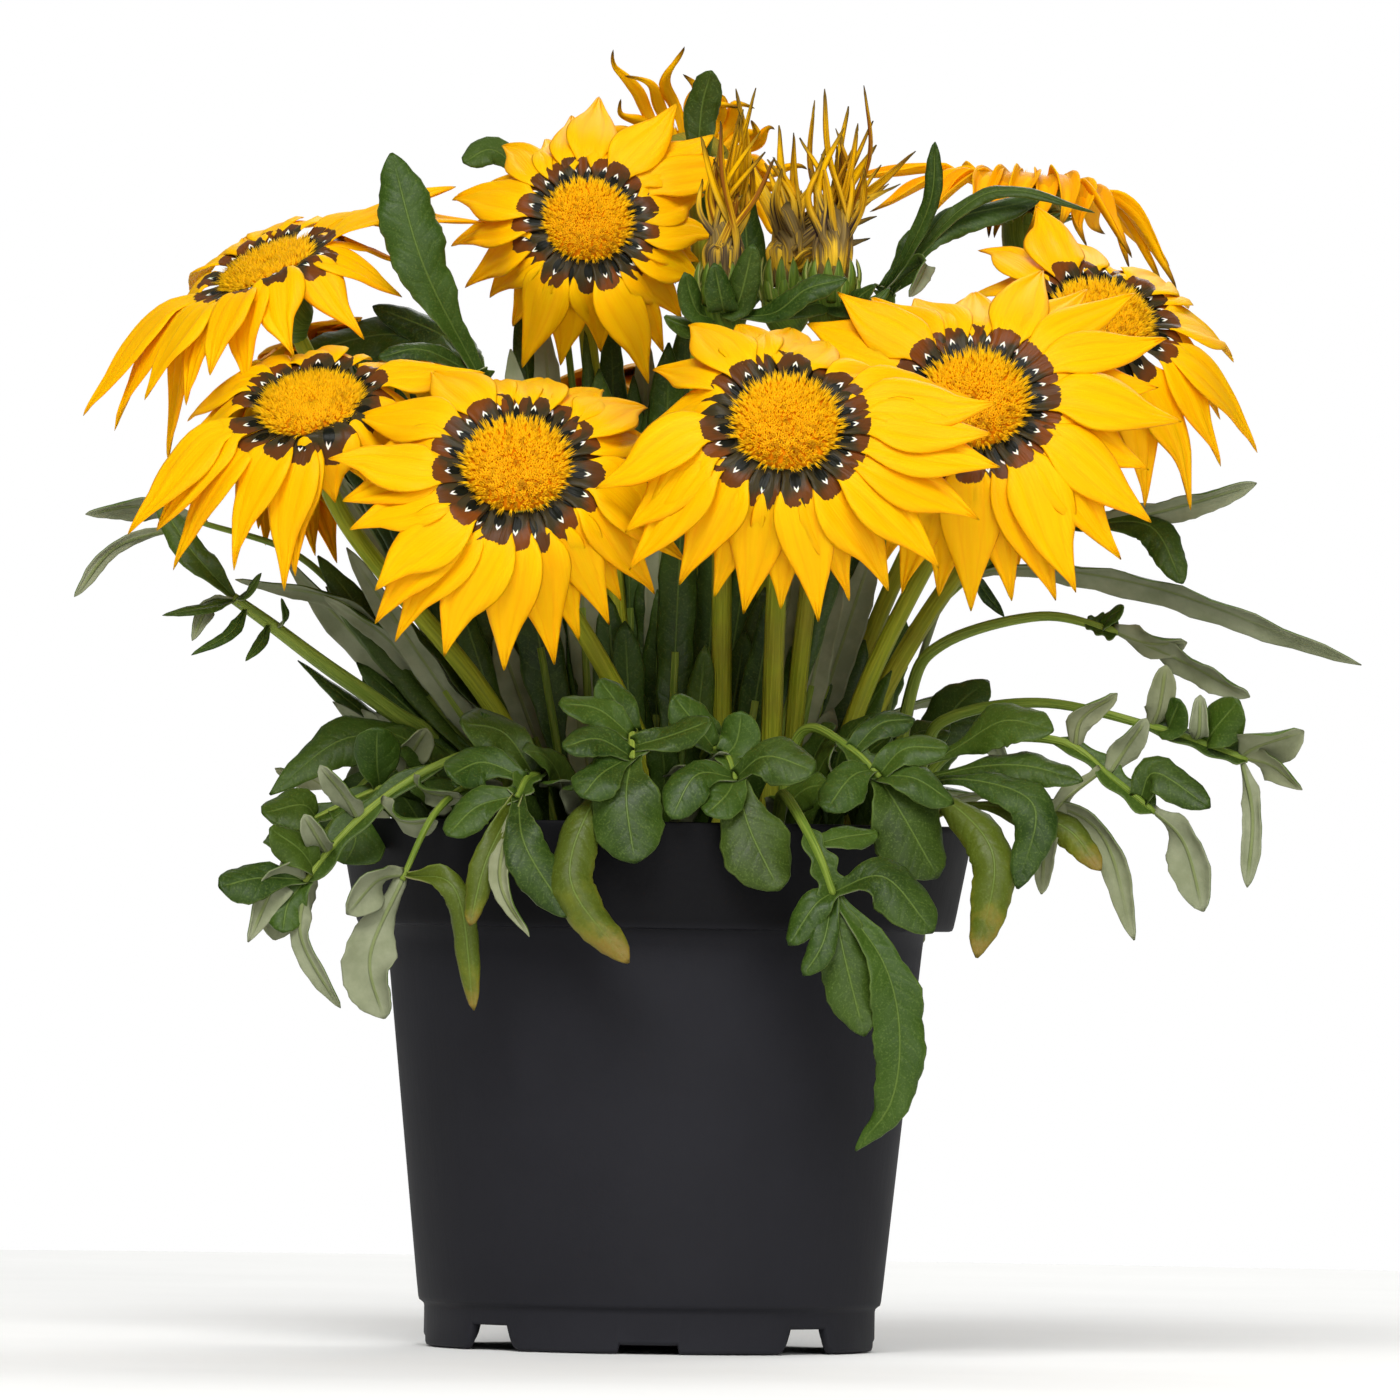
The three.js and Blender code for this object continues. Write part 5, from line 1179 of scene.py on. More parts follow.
def make_disc(bloom, index):
    """The yellow middle: a low dome packed with florets, the outermost long and pointed."""
    middle, a, b, n = across_face(bloom)
    k = bloom["scale"]
    random = np.random.default_rng(index)
    base = middle + n * (HUB_TOP * k + DISC_GAP)
    disc = Piece()
    profile = [(0.86, -0.02), *[(r, h) for r, h in reversed(DOME) if r > 0.05], (0.03, DOME[0][1])]
    profile = [(DISC_R * k * BED * r, DISC_HEIGHT * k * h) for r, h in profile]
    turned(disc, (base, a, b, n), profile, 32, 1)

    count = FLORETS if "tips" in bloom else FLORETS_BACK
    number = np.arange(count)
    share = np.sqrt((number + 0.5) / count)
    out = outward_all(a, b, number * FLORET_TURN + random.normal(0, 0.03, count))
    height = eased(DOME, share)
    at = base + out * (share * BED * DISC_R * k)[:, None] + n * (height * DISC_HEIGHT * k)[:, None]
    lean = eased(FLORET_LEAN, share) + random.normal(0, 0.16, count)
    axis = n * np.cos(lean)[:, None] + out * np.sin(lean)[:, None]
    across = np.cross(axis, out) + 0.4 * random.normal(0, 1, (count, 3))
    across -= axis * (across * axis).sum(1, keepdims=True)
    across /= np.linalg.norm(across, axis=1, keepdims=True)
    wide = eased(FLORET_WIDE, share) * FLORET_R * k
    wide = wide * (1 + random.normal(0, 0.1, count)) * math.sqrt(FULL_SIZE_COUNT / count)
    tall = eased(FLORET_TALL, share) * (1 + random.normal(0, 0.14, count)) * FLORET_HEIGHT * k
    form = FLORET_POINTS[None] * (1 + random.normal(0, 0.16, (count, len(FLORET_POINTS), 1)))
    points = at[:, None]
    for i, (way, size) in enumerate(((across, wide), (np.cross(axis, across), wide), (axis, tall))):
        points = points + way[:, None] * form[..., i:i + 1] * size[:, None, None]
    faces = FLORET_FACES[None] + (number * len(FLORET_POINTS))[:, None, None]

    # Rusty florets here and there and in the middle, and more on the lower rim, where the rust is painted
    # shade.
    rust_and_shade = (random.random(count) < 0.15) * 1.0 * random.random(count) + (share < 0.08) * 1.0
    lower = 0.5 - 0.5 * (out @ vec(-0.4, 0, 1))  # more rust on the lower rim: painted shade of the disc's lower side
    rust_and_shade = np.clip(rust_and_shade + (random.random(count) < 0.3 * lower) * lower * (share > 0.45), 0, 1)
    place = paired(share[:, None], FLORET_SHARE[None])
    kind = paired(random.random(count)[:, None], np.repeat(rust_and_shade[:, None], len(FLORET_POINTS), 1))
    disc.add(points, [faces.reshape(-1, 3)], 0, place, place, kind)
    disc.make("florets_" + bloom["name"], "disc", [FLORET, DISC_BED], "disc_" + bloom["name"])


# ---------------------------------------------------------------- stems and cups
def cup_top(k):
    """Level of the cup's top, just under the hub."""
    return (HUB_BOTTOM - 0.4) * k - 0.4


def stem_line(bloom, foot, steps):
    """From the hole in the soil, upright through the soil, to the cup under the bloom."""
    n = unit(vec(*bloom["face"]))
    root = vec(*bloom["root"], ROOT_Z)
    low = root + vec(0, 0, STEM_UPRIGHT)
    rise = foot[2] - low[2]
    curve = bezier(low, low + vec(0, 0, 0.42 * rise), foot - n * min(34, 0.34 * rise), foot)
    return [root, *evenly(curve, steps)]


BRACT_STATIONS, BRACT_ACROSS = np.linspace(0, 1, 8), np.array([-1, -0.8, 0, 0.8, 1])
BRACT_OUTLINE = [(0, 1.0), (0.4, 1.15), (0.75, 0.6), (1, 0.06)]
BRACT_HALF, BRACT_THICK = 1.25, 0.5
# Each row of bracts: how many, the levels of their foot and of their tip, and how far out the tip is.
SPREAD_BRACTS = ((9, -7.6, -4.7, 8.0), (13, -6.2, -3.9, 10.2))
UPRIGHT_BRACTS = ((9, -8, -1.0, 6.2), (12, -6.5, 3.2, 5.9))


def add_stem(stem, bloom, seed, bracts=SPREAD_BRACTS):
    """The stem, the cup that it widens into, and two rows of pointed bracts."""
    middle, a, b, n = across_face(bloom)
    k = bloom["scale"]
    top = middle + n * cup_top(k)
    foot = top - n * (CUP_LENGTH * k)
    line = stem_line(bloom, foot, STEM_STEPS)
    slim = 0.86 + 0.2 * draw(seed)
    radii = [STEM_R * slim * (1.06 - 0.16 * i / STEM_STEPS) for i in range(len(line))]
    flush = (draw(seed + 5), 0.15 + 0.5 * draw(seed + 9))
    rod(stem, line, radii, STEM_SIDES, 0, flush, ridge=0.05)
    cup = [(radii[-1], -0.6), (radii[-1] + 0.3, 0), (2.9, 1.2), (CUP_R * 0.66 * k, 2.4),
        (CUP_R * 0.8 * k, 3.8), (CUP_R * 0.88 * k, CUP_LENGTH * 0.55 * k),
        (CUP_R * 0.93 * k, CUP_LENGTH * 0.8 * k), (CUP_R * k, CUP_LENGTH * k - 0.3),
        (CUP_R * 0.9 * k, CUP_LENGTH * k), (0.6, CUP_LENGTH * k)]
    turned(stem, (foot, a, b, n), cup, CUP_SIDES, 1, (draw(seed + 3), 0))
    for row, (count, low, high, reach) in enumerate(bracts):
        for i in range(count):
            turn = (i + 0.5 * row + 0.3 * draw(seed + i)) / count * TURN
            out = outward(turn, 1, a, b)
            points = [(CUP_R * 0.9 * k, low * k), ((CUP_R + 0.35) * k, (low * 0.45 + high * 0.55) * k),
                (reach * k, (high - 0.1) * k)]
            curve = smooth([middle + out * r + n * z for r, z in points])
            half = eased(BRACT_OUTLINE, BRACT_STATIONS) * BRACT_HALF * k
            blade(stem, curve, -out, BRACT_STATIONS, BRACT_ACROSS, half, 0.5, BRACT_THICK,
                (draw(seed * 3 + i), 0), upper=1, lower=1, widest=0.3)


def make_stem(bloom, index):
    """A bloom's stem with its green cup."""
    stem = Piece()
    add_stem(stem, bloom, index * 11)
    stem.make("flower_stem_" + bloom["name"], "stem", [STEM, BRACT], "stem_" + bloom["name"])


# ---------------------------------------------------------------- spent blooms
HALF_OPEN = {"b": 0.7}  # the spent bloom whose rays have not all rolled up, and how open they are
# Each ring of withered rays: how far in it starts, and the least and most of their length.
WISP_RINGS = ((0, 1, 1), (0.3, 0.7, 0.95), (1.6, 0.55, 0.9))
WISP_OUTLINE = [(0, 0.8), (0.1, 1), (0.22, 1), (0.4, 0.95), (0.6, 0.85), (0.85, 0.6), (1, 0.08)]


def add_wisp(bundle, at, turn, tip, width, seed, open_rays, inner):
    """One withered ray: half rolled low down, against its neighbours, and a quill above."""
    x, y, z = tip
    r = [draw(seed * 1.9 + j) for j in range(8)]
    out = outward(turn)
    sway = vec(r[0] - 0.5, r[1] - 0.5, 0) * 6
    curve = smooth([at + out * (3.5 - inner) + vec(0, 0, -1), at + out * (4.2 - inner) + vec(0, 0, 4.5),
        at + out * (3.8 - inner) + vec(0.2 * x, 0.2 * y, 0.3 * z),
        at + out * (2.4 - 0.5 * inner) + vec(0.62 * x, 0.62 * y, 0.64 * z) + sway, at + vec(x, y, z)])
    t = np.linspace(0, 1, 34)
    u = np.array([-1, -0.8, -0.45, 0, 0.45, 0.8, 1])
    half = width / 2 * (eased(WISP_OUTLINE, t) + open_rays * np.sin(math.pi * t) ** 2)
    roll = 2.0 - 1.0 * open_rays
    curl = eased([(0, -1.5), (0.25, -1.6), (0.42, -0.8 * roll), (0.7, -roll), (1, -1.1 * roll)], t)
    twist = (r[2] - 0.5) * 2.6 * eased([(0, 0), (0.35, 0.06), (1, 1)], t)
    heights = np.array([curve(s)[2] - at[2] for s in t]) / BUNDLE
    start = len(bundle.maps["kind"])
    ripple = 0.14 * np.cos(u * 7 + seed)
    blade(bundle, curve, out, t, u, half, curl, WISP_THICK, (0, 0), ripple, twist, widest=0.15)
    high = np.concatenate([np.repeat(heights, len(u)), heights[1:-1].repeat(len(u) - 2)])
    bundle.maps["kind"][start] = paired(draw(seed * 1.7) * (1 - 0.8 * open_rays), high)


def make_spent_bloom(bud, index):
    """A bundle of withered rays round a core, and its stem with upright bracts and small leaves."""
    at = vec(*bud["at"])
    bundle, random = Piece(), np.random.default_rng(index)
    seat, open_rays = cup_top(BUD_SCALE) + BUNDLE_GAP, HALF_OPEN.get(bud["name"], 0)
    core = [(0.5, seat), (3.4, seat), (3.7, seat + 0.8), (3.6, 3), (3.1, 8), (2.0, 12), (0.4, 14)]
    # The core takes the dark of the dusky band throughout: painted shade where it shows between the
    # withered rays.
    turned(bundle, upright(at), core, 20, 0, (0.3, 0.12))
    tips = [vec(x, y, z) for x, z, y in bud["tips"]]
    for ring, (inner, low, high) in enumerate(WISP_RINGS):
        for i, (own, after) in enumerate(zip(tips, [*tips[1:], tips[0]])):
            seed = index * 60 + 20 * ring + i
            reach = low + (high - low) * draw(seed * 0.7)
            if ring < 2:
                tip = own * (1 - 0.5 * ring) + after * 0.5 * ring
            else:
                tip = vec(*(random.normal(0, 6, 2) + own[:2] * 0.6), own[2])
            turn = (i + 0.5 * ring) / len(tips) * TURN
            add_wisp(bundle, at, turn, tip * reach, 2.7 + draw(seed), seed, open_rays, inner)
    bundle.make("spent_bloom_" + bud["name"], "withered", [WITHERED, WITHERED], "bud_" + bud["name"])

    stem = Piece()
    seated = dict(at=bud["at"], face=[0, 0, 1], scale=BUD_SCALE, root=bud["root"])
    add_stem(stem, seated, 200 + index * 11, UPRIGHT_BRACTS)
    if bud["name"] in STEM_LEAVES:
        foot = vec(*bud["at"][:2], bud["at"][2] - 14)
        lines = [stem_line(seated, foot, 8), [foot, vec(*bud["at"][:2], bud["at"][2] - 4)]]
        add_leaves(stem, dict(blades=STEM_LEAVES[bud["name"]]), lines, 2, 900 + index)
    stem.make("spent_stem_" + bud["name"], "stem", [STEM, BRACT, STALK, LEAF, FELT],
        "stem_bud_" + bud["name"])


# ---------------------------------------------------------------- leaves
OUTLINES = dict(
    o=[(0, 0.3), (0.12, 0.34), (0.28, 0.54), (0.45, 0.84), (0.6, 0.99), (0.68, 1), (0.8, 0.87),
        (0.9, 0.61), (0.96, 0.34), (1, 0.05)],
    lobe=[(0, 0.5), (0.15, 0.62), (0.35, 0.86), (0.55, 0.99), (0.67, 1), (0.8, 0.86), (0.9, 0.6),
        (0.965, 0.32), (1, 0.05)],
    s=[(0, 0.2), (0.15, 0.5), (0.36, 0.85), (0.6, 1), (0.78, 0.95), (0.9, 0.62), (0.97, 0.28), (1, 0.05)],
    l=[(0, 0.2), (0.2, 0.6), (0.42, 1), (0.6, 0.94), (0.78, 0.66), (0.92, 0.3), (1, 0.04)],
    t=[(0, 0.3), (0.25, 0.62), (0.5, 0.88), (0.7, 1), (0.85, 0.85), (0.94, 0.52), (1, 0.05)])
PETIOLE = [(0, 0.2), (0.2, 0.18), (0.4, 0.22), (0.52, 0.32)]  # how a blade from the crown begins
LOBE_WIDTH = 10  # spoon-shaped blades narrower than this, on a stalk, are lobes, broad from their foot
FACING = dict(u=vec(0, -0.8, 0.6), g=vec(0.1, 0.72, 0.69), y=vec(0, -0.92, 0.4))
CURLING = dict(u=1.0, g=1.7, y=1.9)  # how much more the edges of pale and of aged leaves turn
WING = 3.1  # half the width of the blade along a leaf's middle stalk, between its lobes
WINGED = 2.4  # a stalk at least so wide has a blade of that width along it
BARE = 1.2  # the width that stands for a stalk's own where it has hardly any blade
FAR_SIDE = 40  # depth beyond which leaves are seen from behind the plant
# Places across a leaf and mm from row to row; the young leaves are simpler.
LEAF_ACROSS, LEAF_ROW = np.array([-1, -0.93, -0.7, -0.4, -0.13, 0, 0.13, 0.4, 0.7, 0.93, 1]), 1.25
YOUNG_ACROSS, YOUNG_ROW = np.array([-1, -0.86, -0.4, 0, 0.4, 0.86, 1]), 2.3
YOUNG_KINDS, LOW_KINDS = ["su", "lu", "tu", "sg"], ["ou", "lu", "su"]
YOUNG_STEPS, YOUNG_STALK = 16, 12  # steps along a young leaf, and how many of them its stalk has


def nearest(lines, p):
    """The point of the stalks nearest to p, a little away from their ends."""
    spots = [q + (r - q) * t for line in lines for q, r in zip(line, line[1:])
        for t in (0.1, 0.26, 0.42, 0.58, 0.74, 0.9)]
    return min(spots, key=lambda q: np.linalg.norm(p - q))


def rooted(root, points):
    """A petiole's line from the crown: steep at first, then over to the first point."""
    foot = vec(*root, SOIL_TOP + 1)
    bend = points[0] + (foot - points[0]) * 0.6
    bend[2] = foot[2] + 0.75 * (points[0][2] - foot[2])
    return [foot, bend, *points]


def facing(kind, line):
    """The way a blade looks: leaves that droop at the far side turn their upper side up and away."""
    if kind[1] == "u" and kind[0] != "t" and line[-1][1] > FAR_SIDE:
        return vec(0, 0.35, 0.94)
    return FACING[kind[1]]


def add_leaf(foliage, kind, width, line, first, seed, u=LEAF_ACROSS, row=LEAF_ROW):
    """One blade: channelled at its foot, creased along the midrib, its edges waved and turned down."""
    curve = smooth(line)
    form = "lobe" if kind[0] == "o" and width < LOBE_WIDTH else kind[0]
    outline = OUTLINES[form]
    if kind[2:] == "r" and form != "t":
        outline = [*PETIOLE, *[(0.3 + 0.7 * t, share) for t, share in OUTLINES[kind[0]] if t > 0.44]]
    length = distances(evenly(curve, 12))[-1]
    s = np.linspace(0, 1, int(np.clip(length / row, 14, 50)))
    t = s + 0.3 * s * (1 - s)
    r = [draw(seed * 2.9 + j) for j in range(8)]
    waves = length / (9 + 5 * r[0])
    edge = np.sin(TURN * waves * t[:, None] + np.where(u < 0, 3 * r[1], 3 + 3 * r[2]))
    full = eased(outline, t)[:, None]
    teeth = np.sin(TURN * waves * t[:, None] * 3.1 + 9 * r[2] + np.where(u < 0, 2, 0))
    half = width / 2 * full * (1 + 0.05 * edge + 0.035 * teeth)
    curl = [(0, 0.9), (0.25, 0.5), (0.5, -0.3 - 0.4 * r[3]), (0.85, -0.5 - 0.3 * r[4]), (1, -0.2)]
    curl = eased(curl, t) * CURLING[kind[1]]
    crease = -0.28 * np.exp(-(u / 0.16) ** 2) * np.clip(full * 1.3, 0, 1)
    lift = crease + 0.07 * width * edge * abs(u) ** 2.5 * full
    age = 0.75 + 0.25 * r[5] if kind[1] == "y" else 0.3 * r[6] ** 3
    blade(foliage, curve, facing(kind, line), t, u, half, curl, LEAF_THICK, (draw(seed * 1.1), age),
        lift, (r[7] - 0.5) * 0.3 * t, widest=0.65, upper=first + 1, lower=first + 2)


def add_wings(foliage, stalk, width, joints, first, seed):
    """The narrow blade along both sides of a stalk, from its lowest lobe to its tip."""
    curve = smooth(stalk)
    lobed = [i / 40 for i in range(41)
        if min((np.linalg.norm(curve(i / 40) - p) for p in joints), default=math.inf) < 1.2]
    if len(lobed) < 2:
        return
    low, reach = max(0, lobed[0] - 0.06), WING * min(1, width / WINGED) ** 2
    t, u = np.linspace(0, 1, 30), LEAF_ACROSS
    sinus = np.sin(t[:, None] * 17 + 6 * draw(seed) + np.where(u < 0, 1.5, 0))
    half = eased([(0, 0.3), (0.15, 0.7), (0.9, 1), (1, 0.2)], t)[:, None] * reach * (1 + 0.22 * sinus)
    lift = -0.3 * np.exp(-(u / 0.2) ** 2) + 0.06 * WING * sinus * u ** 2
    blade(foliage, lambda share: curve(low + share * (1 - low)), FACING["u"], t, u, half, 0.5, LEAF_THICK,
        (draw(seed * 1.1), 0.1), lift, widest=0.5, upper=first + 1, lower=first + 2)


def add_leaves(foliage, group, lines, first, seed):
    """The blades and stalks of a group; first is the number of its stalk finish."""
    stalks, widths, joints = [], [], []
    for i, (kind, width, *places) in enumerate(group["blades"]):
        points = [vec(*p) for p in places]
        if kind.endswith("r"):
            line = rooted(group["root"], points)
        else:
            line = [nearest([*stalks, *lines], points[0]), *points]
            joints.append(line[0])
        if kind[0] == "k":
            stalks.append(evenly(smooth(line), len(line)))
            widths.append(width if "u" in kind else BARE)
            steps = 8 * len(line)
            radii = [width / 2 * (1.05 - 0.5 * j / steps) for j in range(steps + 1)]
            rod(foliage, evenly(smooth(line), steps), radii, 10, first, (draw(seed + i), 0), groove=0.25)
        else:
            add_leaf(foliage, kind, width, line, first, seed * 37 + i)
    for i, (stalk, width) in enumerate(zip(stalks, widths)):
        add_wings(foliage, stalk, width, joints, first, seed * 41 + i)


def make_foliage(name, group, index):
    """A group of leaves on its crown in the soil."""
    foliage = Piece()
    top = SOIL_CENTRE + CROWN["above"]
    crown = [(0.6, ROOT_Z), (CROWN["foot"], ROOT_Z), (CROWN["foot"], ROOT_Z + 6),
        (CROWN["top"] + 0.2, top - 0.8), (CROWN["top"] * 0.8, top), (0.4, top + 0.2)]
    turned(foliage, upright(vec(*group["root"], 0)), crown, 16, 0, (0.4, 0.5))
    add_leaves(foliage, group, [], 0, index)
    foliage.make("foliage_" + name, "leaf", [STALK, LEAF, FELT], "leaves_" + name)


# ---------------------------------------------------------------- pot and soil
NOTCHES = ((POT["corner_notch"], 2.9, 45), (POT["side_notch"], 0.7, 0))  # size, flare, angle in degrees
NOTCH_SHARES = (0, 0.04, 0.12, 0.25, 0.42, 0.65, 1)  # stations over a notch's flare


def pot_stations():
    """Angles round the pot, and how far its foot is cut away at each."""
    turns = [(math.radians(d), 0.0) for d in np.arange(0, 360, POT_STEP)]
    for quarter in range(4):
        for (wide, high), flare, middle in NOTCHES:
            centre = math.radians(middle + 90 * quarter)
            half = wide / 2
            side = [(half + flare * t, high * (1 - t) ** 2.2) for t in NOTCH_SHARES]
            cuts = [(-x, cut) for x, cut in reversed(side)] + [(-half / 3, high), (half / 3, high)] + side
            reach = (half + flare) / POT["foot"]
            turns = [(turn, cut) for turn, cut in turns
                if abs((turn - centre + math.pi) % TURN - math.pi) > reach + 0.004]
            turns += [((centre + x / POT["foot"]) % TURN, cut) for x, cut in cuts]
    return sorted(turns)


def make_pot():
    """The moulded pot: foot ring with its notches, tapering wall, step and rim band, all thin-walled."""
    pad, foot, body, body_top, band, rim, wall = (POT[size] for size in
        ("pad", "foot", "body", "body_top", "band", "rim", "wall"))
    under, floor, step, top = (POT[level] for level in ("floor_bottom", "floor_top", "step", "rim_top"))
    foot_inner, rim_inner = foot - FOOT_WALL, rim - wall
    profile = [
        # The pad, and from it out under the floor.
        (0.3, 0), (pad - 0.6, 0), (pad, 0.6), (pad, under - 0.5), (pad + 0.5, under),
        # The foot ring, inside and out.
        (foot_inner - 0.5, under), (foot_inner, under - 0.5), (foot_inner, 0.4), (foot_inner + 0.3, 0),
        (foot - 0.8, 0), (foot - 0.2, 0.25), (foot, 0.8), (foot, 8.0), (foot + 0.15, 8.6),
        (foot + 0.7, 9.05),
        # The wall, the step and the rim band.
        (body - 0.15, 9.3), (body + 0.05, 10), (body + 0.5, 14), (body_top - 0.4, step - 4),
        (body_top, step - 0.7), (body_top + 0.25, step - 0.15), (body_top + 0.8, step), (band - 0.9, step),
        (band - 0.2, step + 0.2), (band + 0.1, step + 0.9), (band + RIM_LEAN * 3, step + 3),
        (rim - RIM_LEAN * 1.6, top - 1.6), (rim, top - 0.7), (rim - 0.15, top - 0.15), (rim - 0.6, top),
        # Down the inside to the floor.
        (rim_inner + 0.15, top - 0.15), (rim_inner - 0.05, top - 0.7),
        (band - wall + RIM_LEAN * 2, step + wall + 1), (band - wall - 0.4, step + wall),
        (body_top - wall + 0.4, step + wall), (body_top - wall, step + wall - 0.5),
        (body - wall + 0.1, floor + 0.6), (body - wall - 0.6, floor), (0.3, floor)]
    rings, stations = [], pot_stations()
    for r, z in profile:
        notched = z < 1 and r > pad + 1
        rings.append([(r * math.sin(turn), -r * math.cos(turn), z + (cut if notched else 0))
            for turn, cut in stations])
    pot = Piece()
    rings_body(pot, rings, 0)
    moulding = pot.make("moulded_pot", "pot", [POT_PLASTIC], "pot")
    moulding.data.set_sharp_from_angle(angle=math.radians(50))
    cut_drain_holes(moulding)


def cut_drain_holes(moulding):
    """Bores the drain holes through the pot's floor."""
    holes = Piece()
    low, high = POT["floor_bottom"] - DRAIN_BEYOND, POT["floor_top"] + DRAIN_BEYOND
    for k in range(DRAIN["count"]):
        turn = (k + 0.5) / DRAIN["count"] * TURN
        turned(holes, upright(outward(turn, DRAIN["at"])), [(0.3, low), (DRAIN["r"], low),
            (DRAIN["r"], high), (0.3, high)], 20, 0)
    cutter = holes.bare("drain_holes")
    bore = moulding.modifiers.new("drain holes", "BOOLEAN")
    bore.object, bore.operation, bore.solver = cutter, "DIFFERENCE", "EXACT"
    evaluated = moulding.evaluated_get(bpy.context.evaluated_depsgraph_get())
    bored = bpy.data.meshes.new_from_object(evaluated)
    moulding.modifiers.clear()
    moulding.data = bored
    bpy.data.objects.remove(cutter)


SOIL_SIDES, SOIL_RINGS = 120, 44  # points round the peat, and rings over its top
LEVEL_R = 30  # the peat is level so far from the middle


def add_crumb(peat, random, edge, fall):
    """A lump on the peat, of chance size and place; a few are long, as bark chips are."""
    r, turn = edge * math.sqrt(random.random()) * 0.97, random.random() * TURN
    size = 0.5 + random.random() ** 3
    level = float(eased(fall, r))
    at = outward(turn, r) + UP * (level - 0.35 * size)
    axis = unit(random.normal(0, 1, 3))
    a = unit(np.cross(axis, vec(0.3, 0.9, 0.2)))
    long = 1.0 + 2.2 * random.random() ** 4
    lump = ((0.15, -0.9), (0.7, -0.5), (0.95, 0), (0.65, 0.55), (0.15, 0.85))
    size = min(size, (level + 0.6 - at[2]) / long)
    turned(peat, (at, a, np.cross(axis, a), axis), [(r * size, z * long * size) for r, z in lump], 6, 1,
        (random.random(), 0))


def make_soil():
    """Peat up to just under the rim, its top crumbled, with loose crumbs and bark chips on it."""
    p, w = POT, POT["wall"] + SOIL_GAP
    edge = p["band"] - w + RIM_LEAN * (SOIL_TOP - p["step"] - w)
    fall = [(0, SOIL_CENTRE), (LEVEL_R, SOIL_CENTRE), (edge, SOIL_TOP)]  # from the middle out
    random = np.random.default_rng(7)
    around = outward_all(SIDEWAYS, BACKWARDS, all_round(SOIL_SIDES))
    profile = [(0.5, p["floor_top"] + SOIL_GAP), (p["body"] - w, p["floor_top"] + SOIL_GAP),
        (p["body_top"] - w, p["step"] + w), (p["band"] - w, p["step"] + w), (edge, SOIL_TOP - 0.6)]
    below_top = len(profile)
    profile += [(r, eased(fall, r)) for r in np.linspace(edge - 0.5, 0.5, SOIL_RINGS)]
    rings = np.array([around * r + UP * z for r, z in profile])
    rough = random.normal(0, 0.3, rings.shape[:2])
    rough = (rough + np.roll(rough, 1, 1) + np.roll(rough, 1, 0)) / 1.6
    rings[below_top:, :, 2] += np.clip(rough[below_top:], -0.8, 0.35) - 0.3
    peat = Piece()
    rings_body(peat, rings, 0)
    for _ in range(CRUMBS):
        add_crumb(peat, random, edge, fall)
    peat.make("peat", "soil", [PEAT, CHIPS], "soil")


def make_young_leaves():
    """Slim young leaves placed by chance among the stems, and small ones low round the crown."""
    thicket = Piece()
    random = np.random.default_rng(21)
    seeds = iter(range(3000, 4000))

    def add_blade(kinds, narrow, wide, curve, shares):
        add_leaf(thicket, random.choice(kinds), random.uniform(narrow, wide), [curve(t) for t in shares],
            0, next(seeds), YOUNG_ACROSS, YOUNG_ROW)

    for count, left, right, front, back, low, high, aside in YOUNG_STANDS:
        for _ in range(count):
            x, y = random.uniform(left, right), random.uniform(front, back)
            spread, deeper = random.uniform(1.1, 1.5), random.uniform(1, 1.4)
            top = vec(x * spread + aside, y * deeper, random.uniform(low, high))
            foot = vec(x * 0.8, y * 0.8, 95)
            curve = smooth([foot, foot + UP * 16, foot + (top - foot) * vec(0.4, 0.4, 0.55), top])
            radii = [1.25 - 0.04 * j for j in range(YOUNG_STALK)]
            rod(thicket, evenly(curve, YOUNG_STEPS)[:YOUNG_STALK], radii, 8, 0, (random.random(), 0),
                groove=0.25)
            add_blade(YOUNG_KINDS, 6, 10, curve, (0.4, 0.6, 0.8, 1))
    for i in range(LOW_LEAVES):
        out = outward((i + random.random()) / LOW_LEAVES * TURN)
        foot = out * random.uniform(34, 46) + UP * 97
        tip = out * random.uniform(50, 63) + UP * random.uniform(110, 130)
        bend = (foot + tip) / 2 + vec(*random.normal(0, 2, 2), random.uniform(5, 9))
        add_blade(LOW_KINDS, 7, 11, smooth([foot, bend, tip]), (0, 0.4, 0.7, 1))
    thicket.make("young_leaves", "leaf", [STALK, LEAF, FELT])


make_pot()
make_soil()
make_young_leaves()
for number, bloom in enumerate(BLOOMS, 1):
    make_stem(bloom, number)
    make_rays(bloom, number)
    make_disc(bloom, number)
for number, bud in enumerate(BUDS, 1):
    make_spent_bloom(bud, number)
for number, (name, group) in enumerate(LEAVES.items(), 1):
    make_foliage(name, group, number)

# ---------------------------------------------------------------- floor, light and camera
FLOOR_R, FLOOR_THICK, FLOOR_GAP = 800, 6, 0.2  # mm; the pot stands the gap above the floor
CAMERA_AT, CAMERA_AIM = vec(8.5, -3300, 95), vec(8.5, 0, 132.8)
CAMERA_ROLL = 0.85  # degrees
SENSOR = 36  # width of the camera's sensor in mm
FRAME_WIDTH = 287  # mm seen across the picture at the plant
WORLD, WORLD_SIDES = 0.32, 0.1  # strength of the soft light from all round, and from both sides
LIGHTS_AIM = vec(0, 0, 140)
LIGHTS = dict(  # place in mm, width and height in mm, watts
    key=((-350, -2200, 2100), (1400, 1400), 70),
    fill=((800, -2500, 700), (1400, 1600), 22),
    back=((600, 1900, 1900), (1600, 1200), 34))


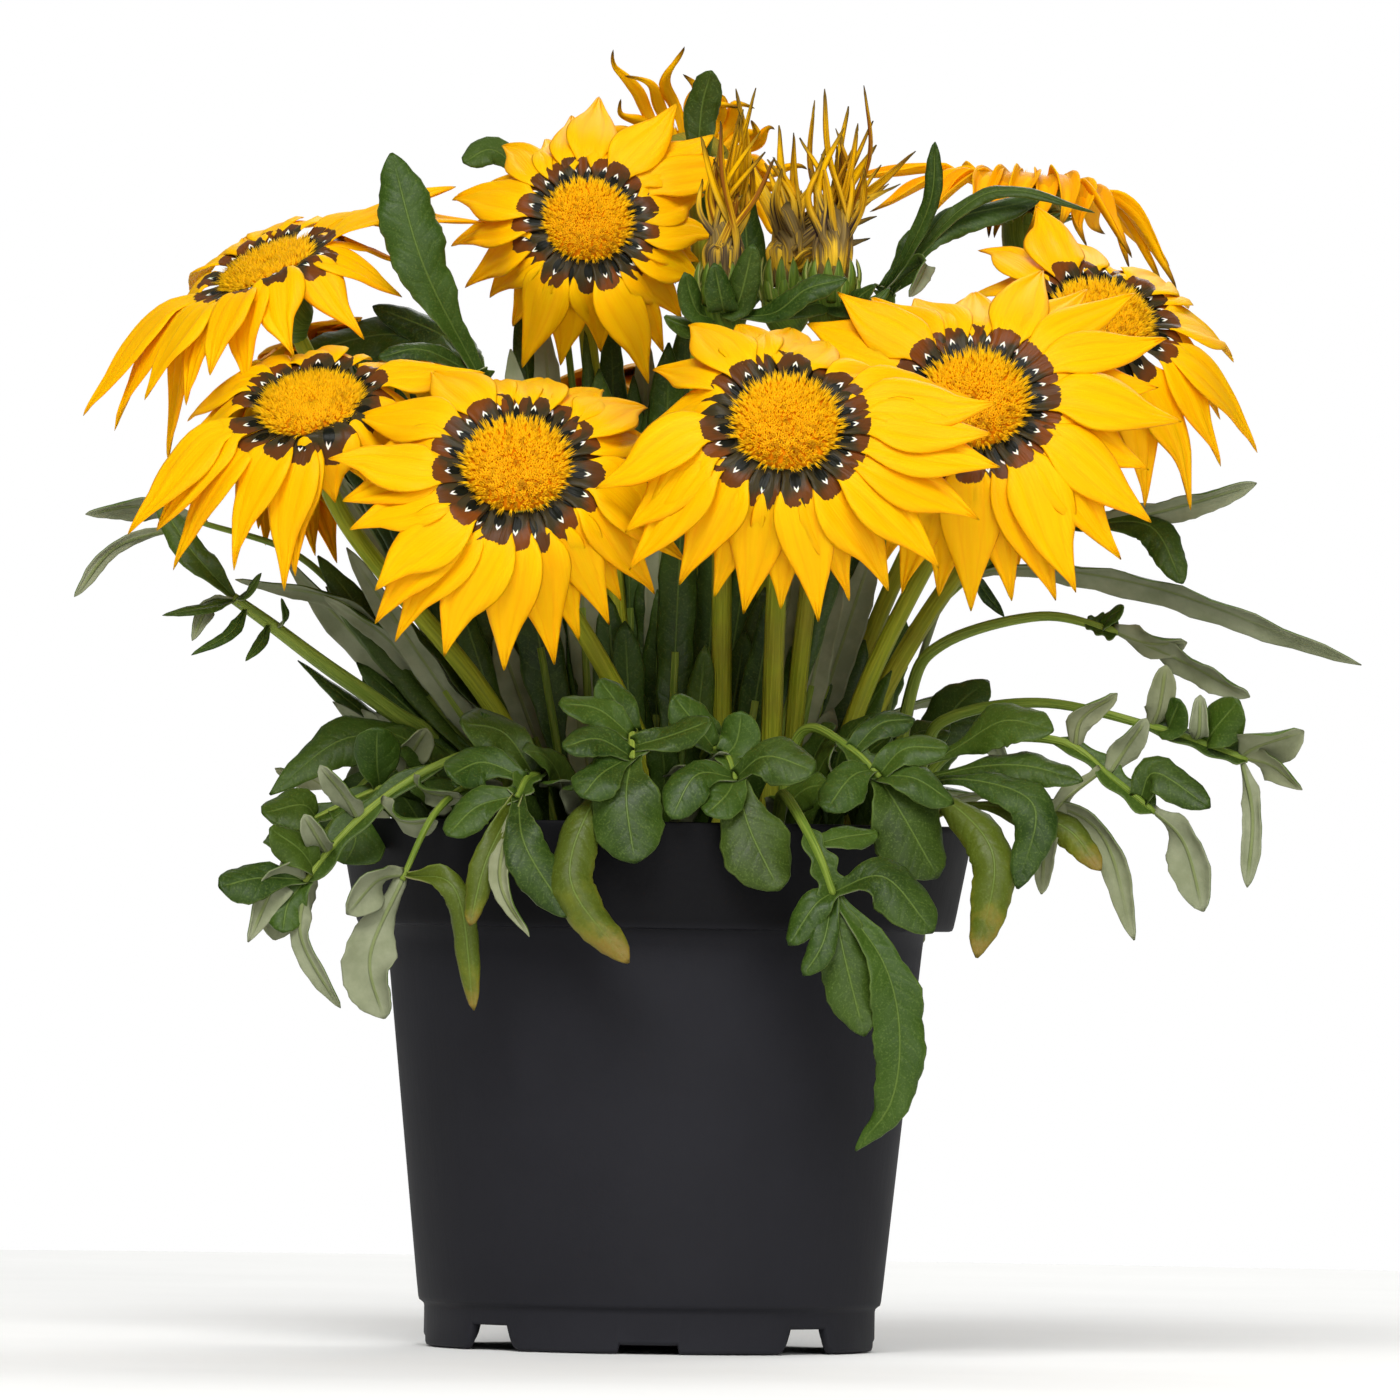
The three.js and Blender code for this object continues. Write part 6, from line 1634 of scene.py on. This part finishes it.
def make_floor():
    """A round studio floor just below the pot."""
    disc = Piece()
    profile = [(5, 0), (FLOOR_R, 0), (FLOOR_R, FLOOR_THICK), (FLOOR_R * 0.4, FLOOR_THICK), (5, FLOOR_THICK)]
    turned(disc, upright(UP * (-FLOOR_THICK - FLOOR_GAP)), profile, 96, 0)
    floor = disc.bare("studio_floor")
    floor.data.materials.append(floor_finish())


def aim(thing, at, target, roll=0.0):
    """Puts a light or a camera in the scene, turned towards its target."""
    thing.location = at * MM
    thing.rotation_mode = "QUATERNION"
    turn = Vector(target - at).to_track_quat("-Z", "Y")
    thing.rotation_quaternion = turn @ Quaternion((0, 0, 1), math.radians(roll))
    bpy.context.scene.collection.objects.link(thing)


def make_lights():
    """Three soft panels, and a weaker light from all round that the camera sees as white."""
    for name, (at, (width, height), watts) in LIGHTS.items():
        panel = bpy.data.lights.new(name, "AREA")
        panel.shape, panel.size, panel.size_y = "RECTANGLE", width * MM, height * MM
        panel.energy = watts
        light = bpy.data.objects.new(name, panel)
        aim(light, vec(*at), LIGHTS_AIM)
        light.visible_camera = False
    world = bpy.data.worlds.new("studio")
    world.use_nodes = True
    bpy.context.scene.world = world
    net = Net(world.node_tree)
    background = world.node_tree.nodes["Background"]
    background.inputs["Color"].default_value = (1, 1, 1, 1)
    seen = Value(net, net.node("ShaderNodeLightPath").outputs["Is Camera Ray"])
    sideways = net.spot("Generated")[0]  # how far aside the light comes from
    strength = net.step(abs(sideways), 0.3, 1.0, WORLD, WORLD_SIDES)
    net.feed(background.inputs["Strength"], net.math("MAXIMUM", seen, strength))


def make_camera():
    """A camera far in front of the plant, which looks slightly upwards."""
    camera = bpy.data.cameras.new("camera")
    camera.sensor_width = SENSOR
    camera.lens = SENSOR * float(np.linalg.norm(CAMERA_AIM - CAMERA_AT)) / FRAME_WIDTH
    camera.clip_end = 40  # metres
    taker = bpy.data.objects.new("camera", camera)
    aim(taker, CAMERA_AT, CAMERA_AIM, CAMERA_ROLL)
    bpy.context.scene.camera = taker


make_floor()
make_lights()
make_camera()
bpy.context.scene.view_settings.view_transform = "Standard"
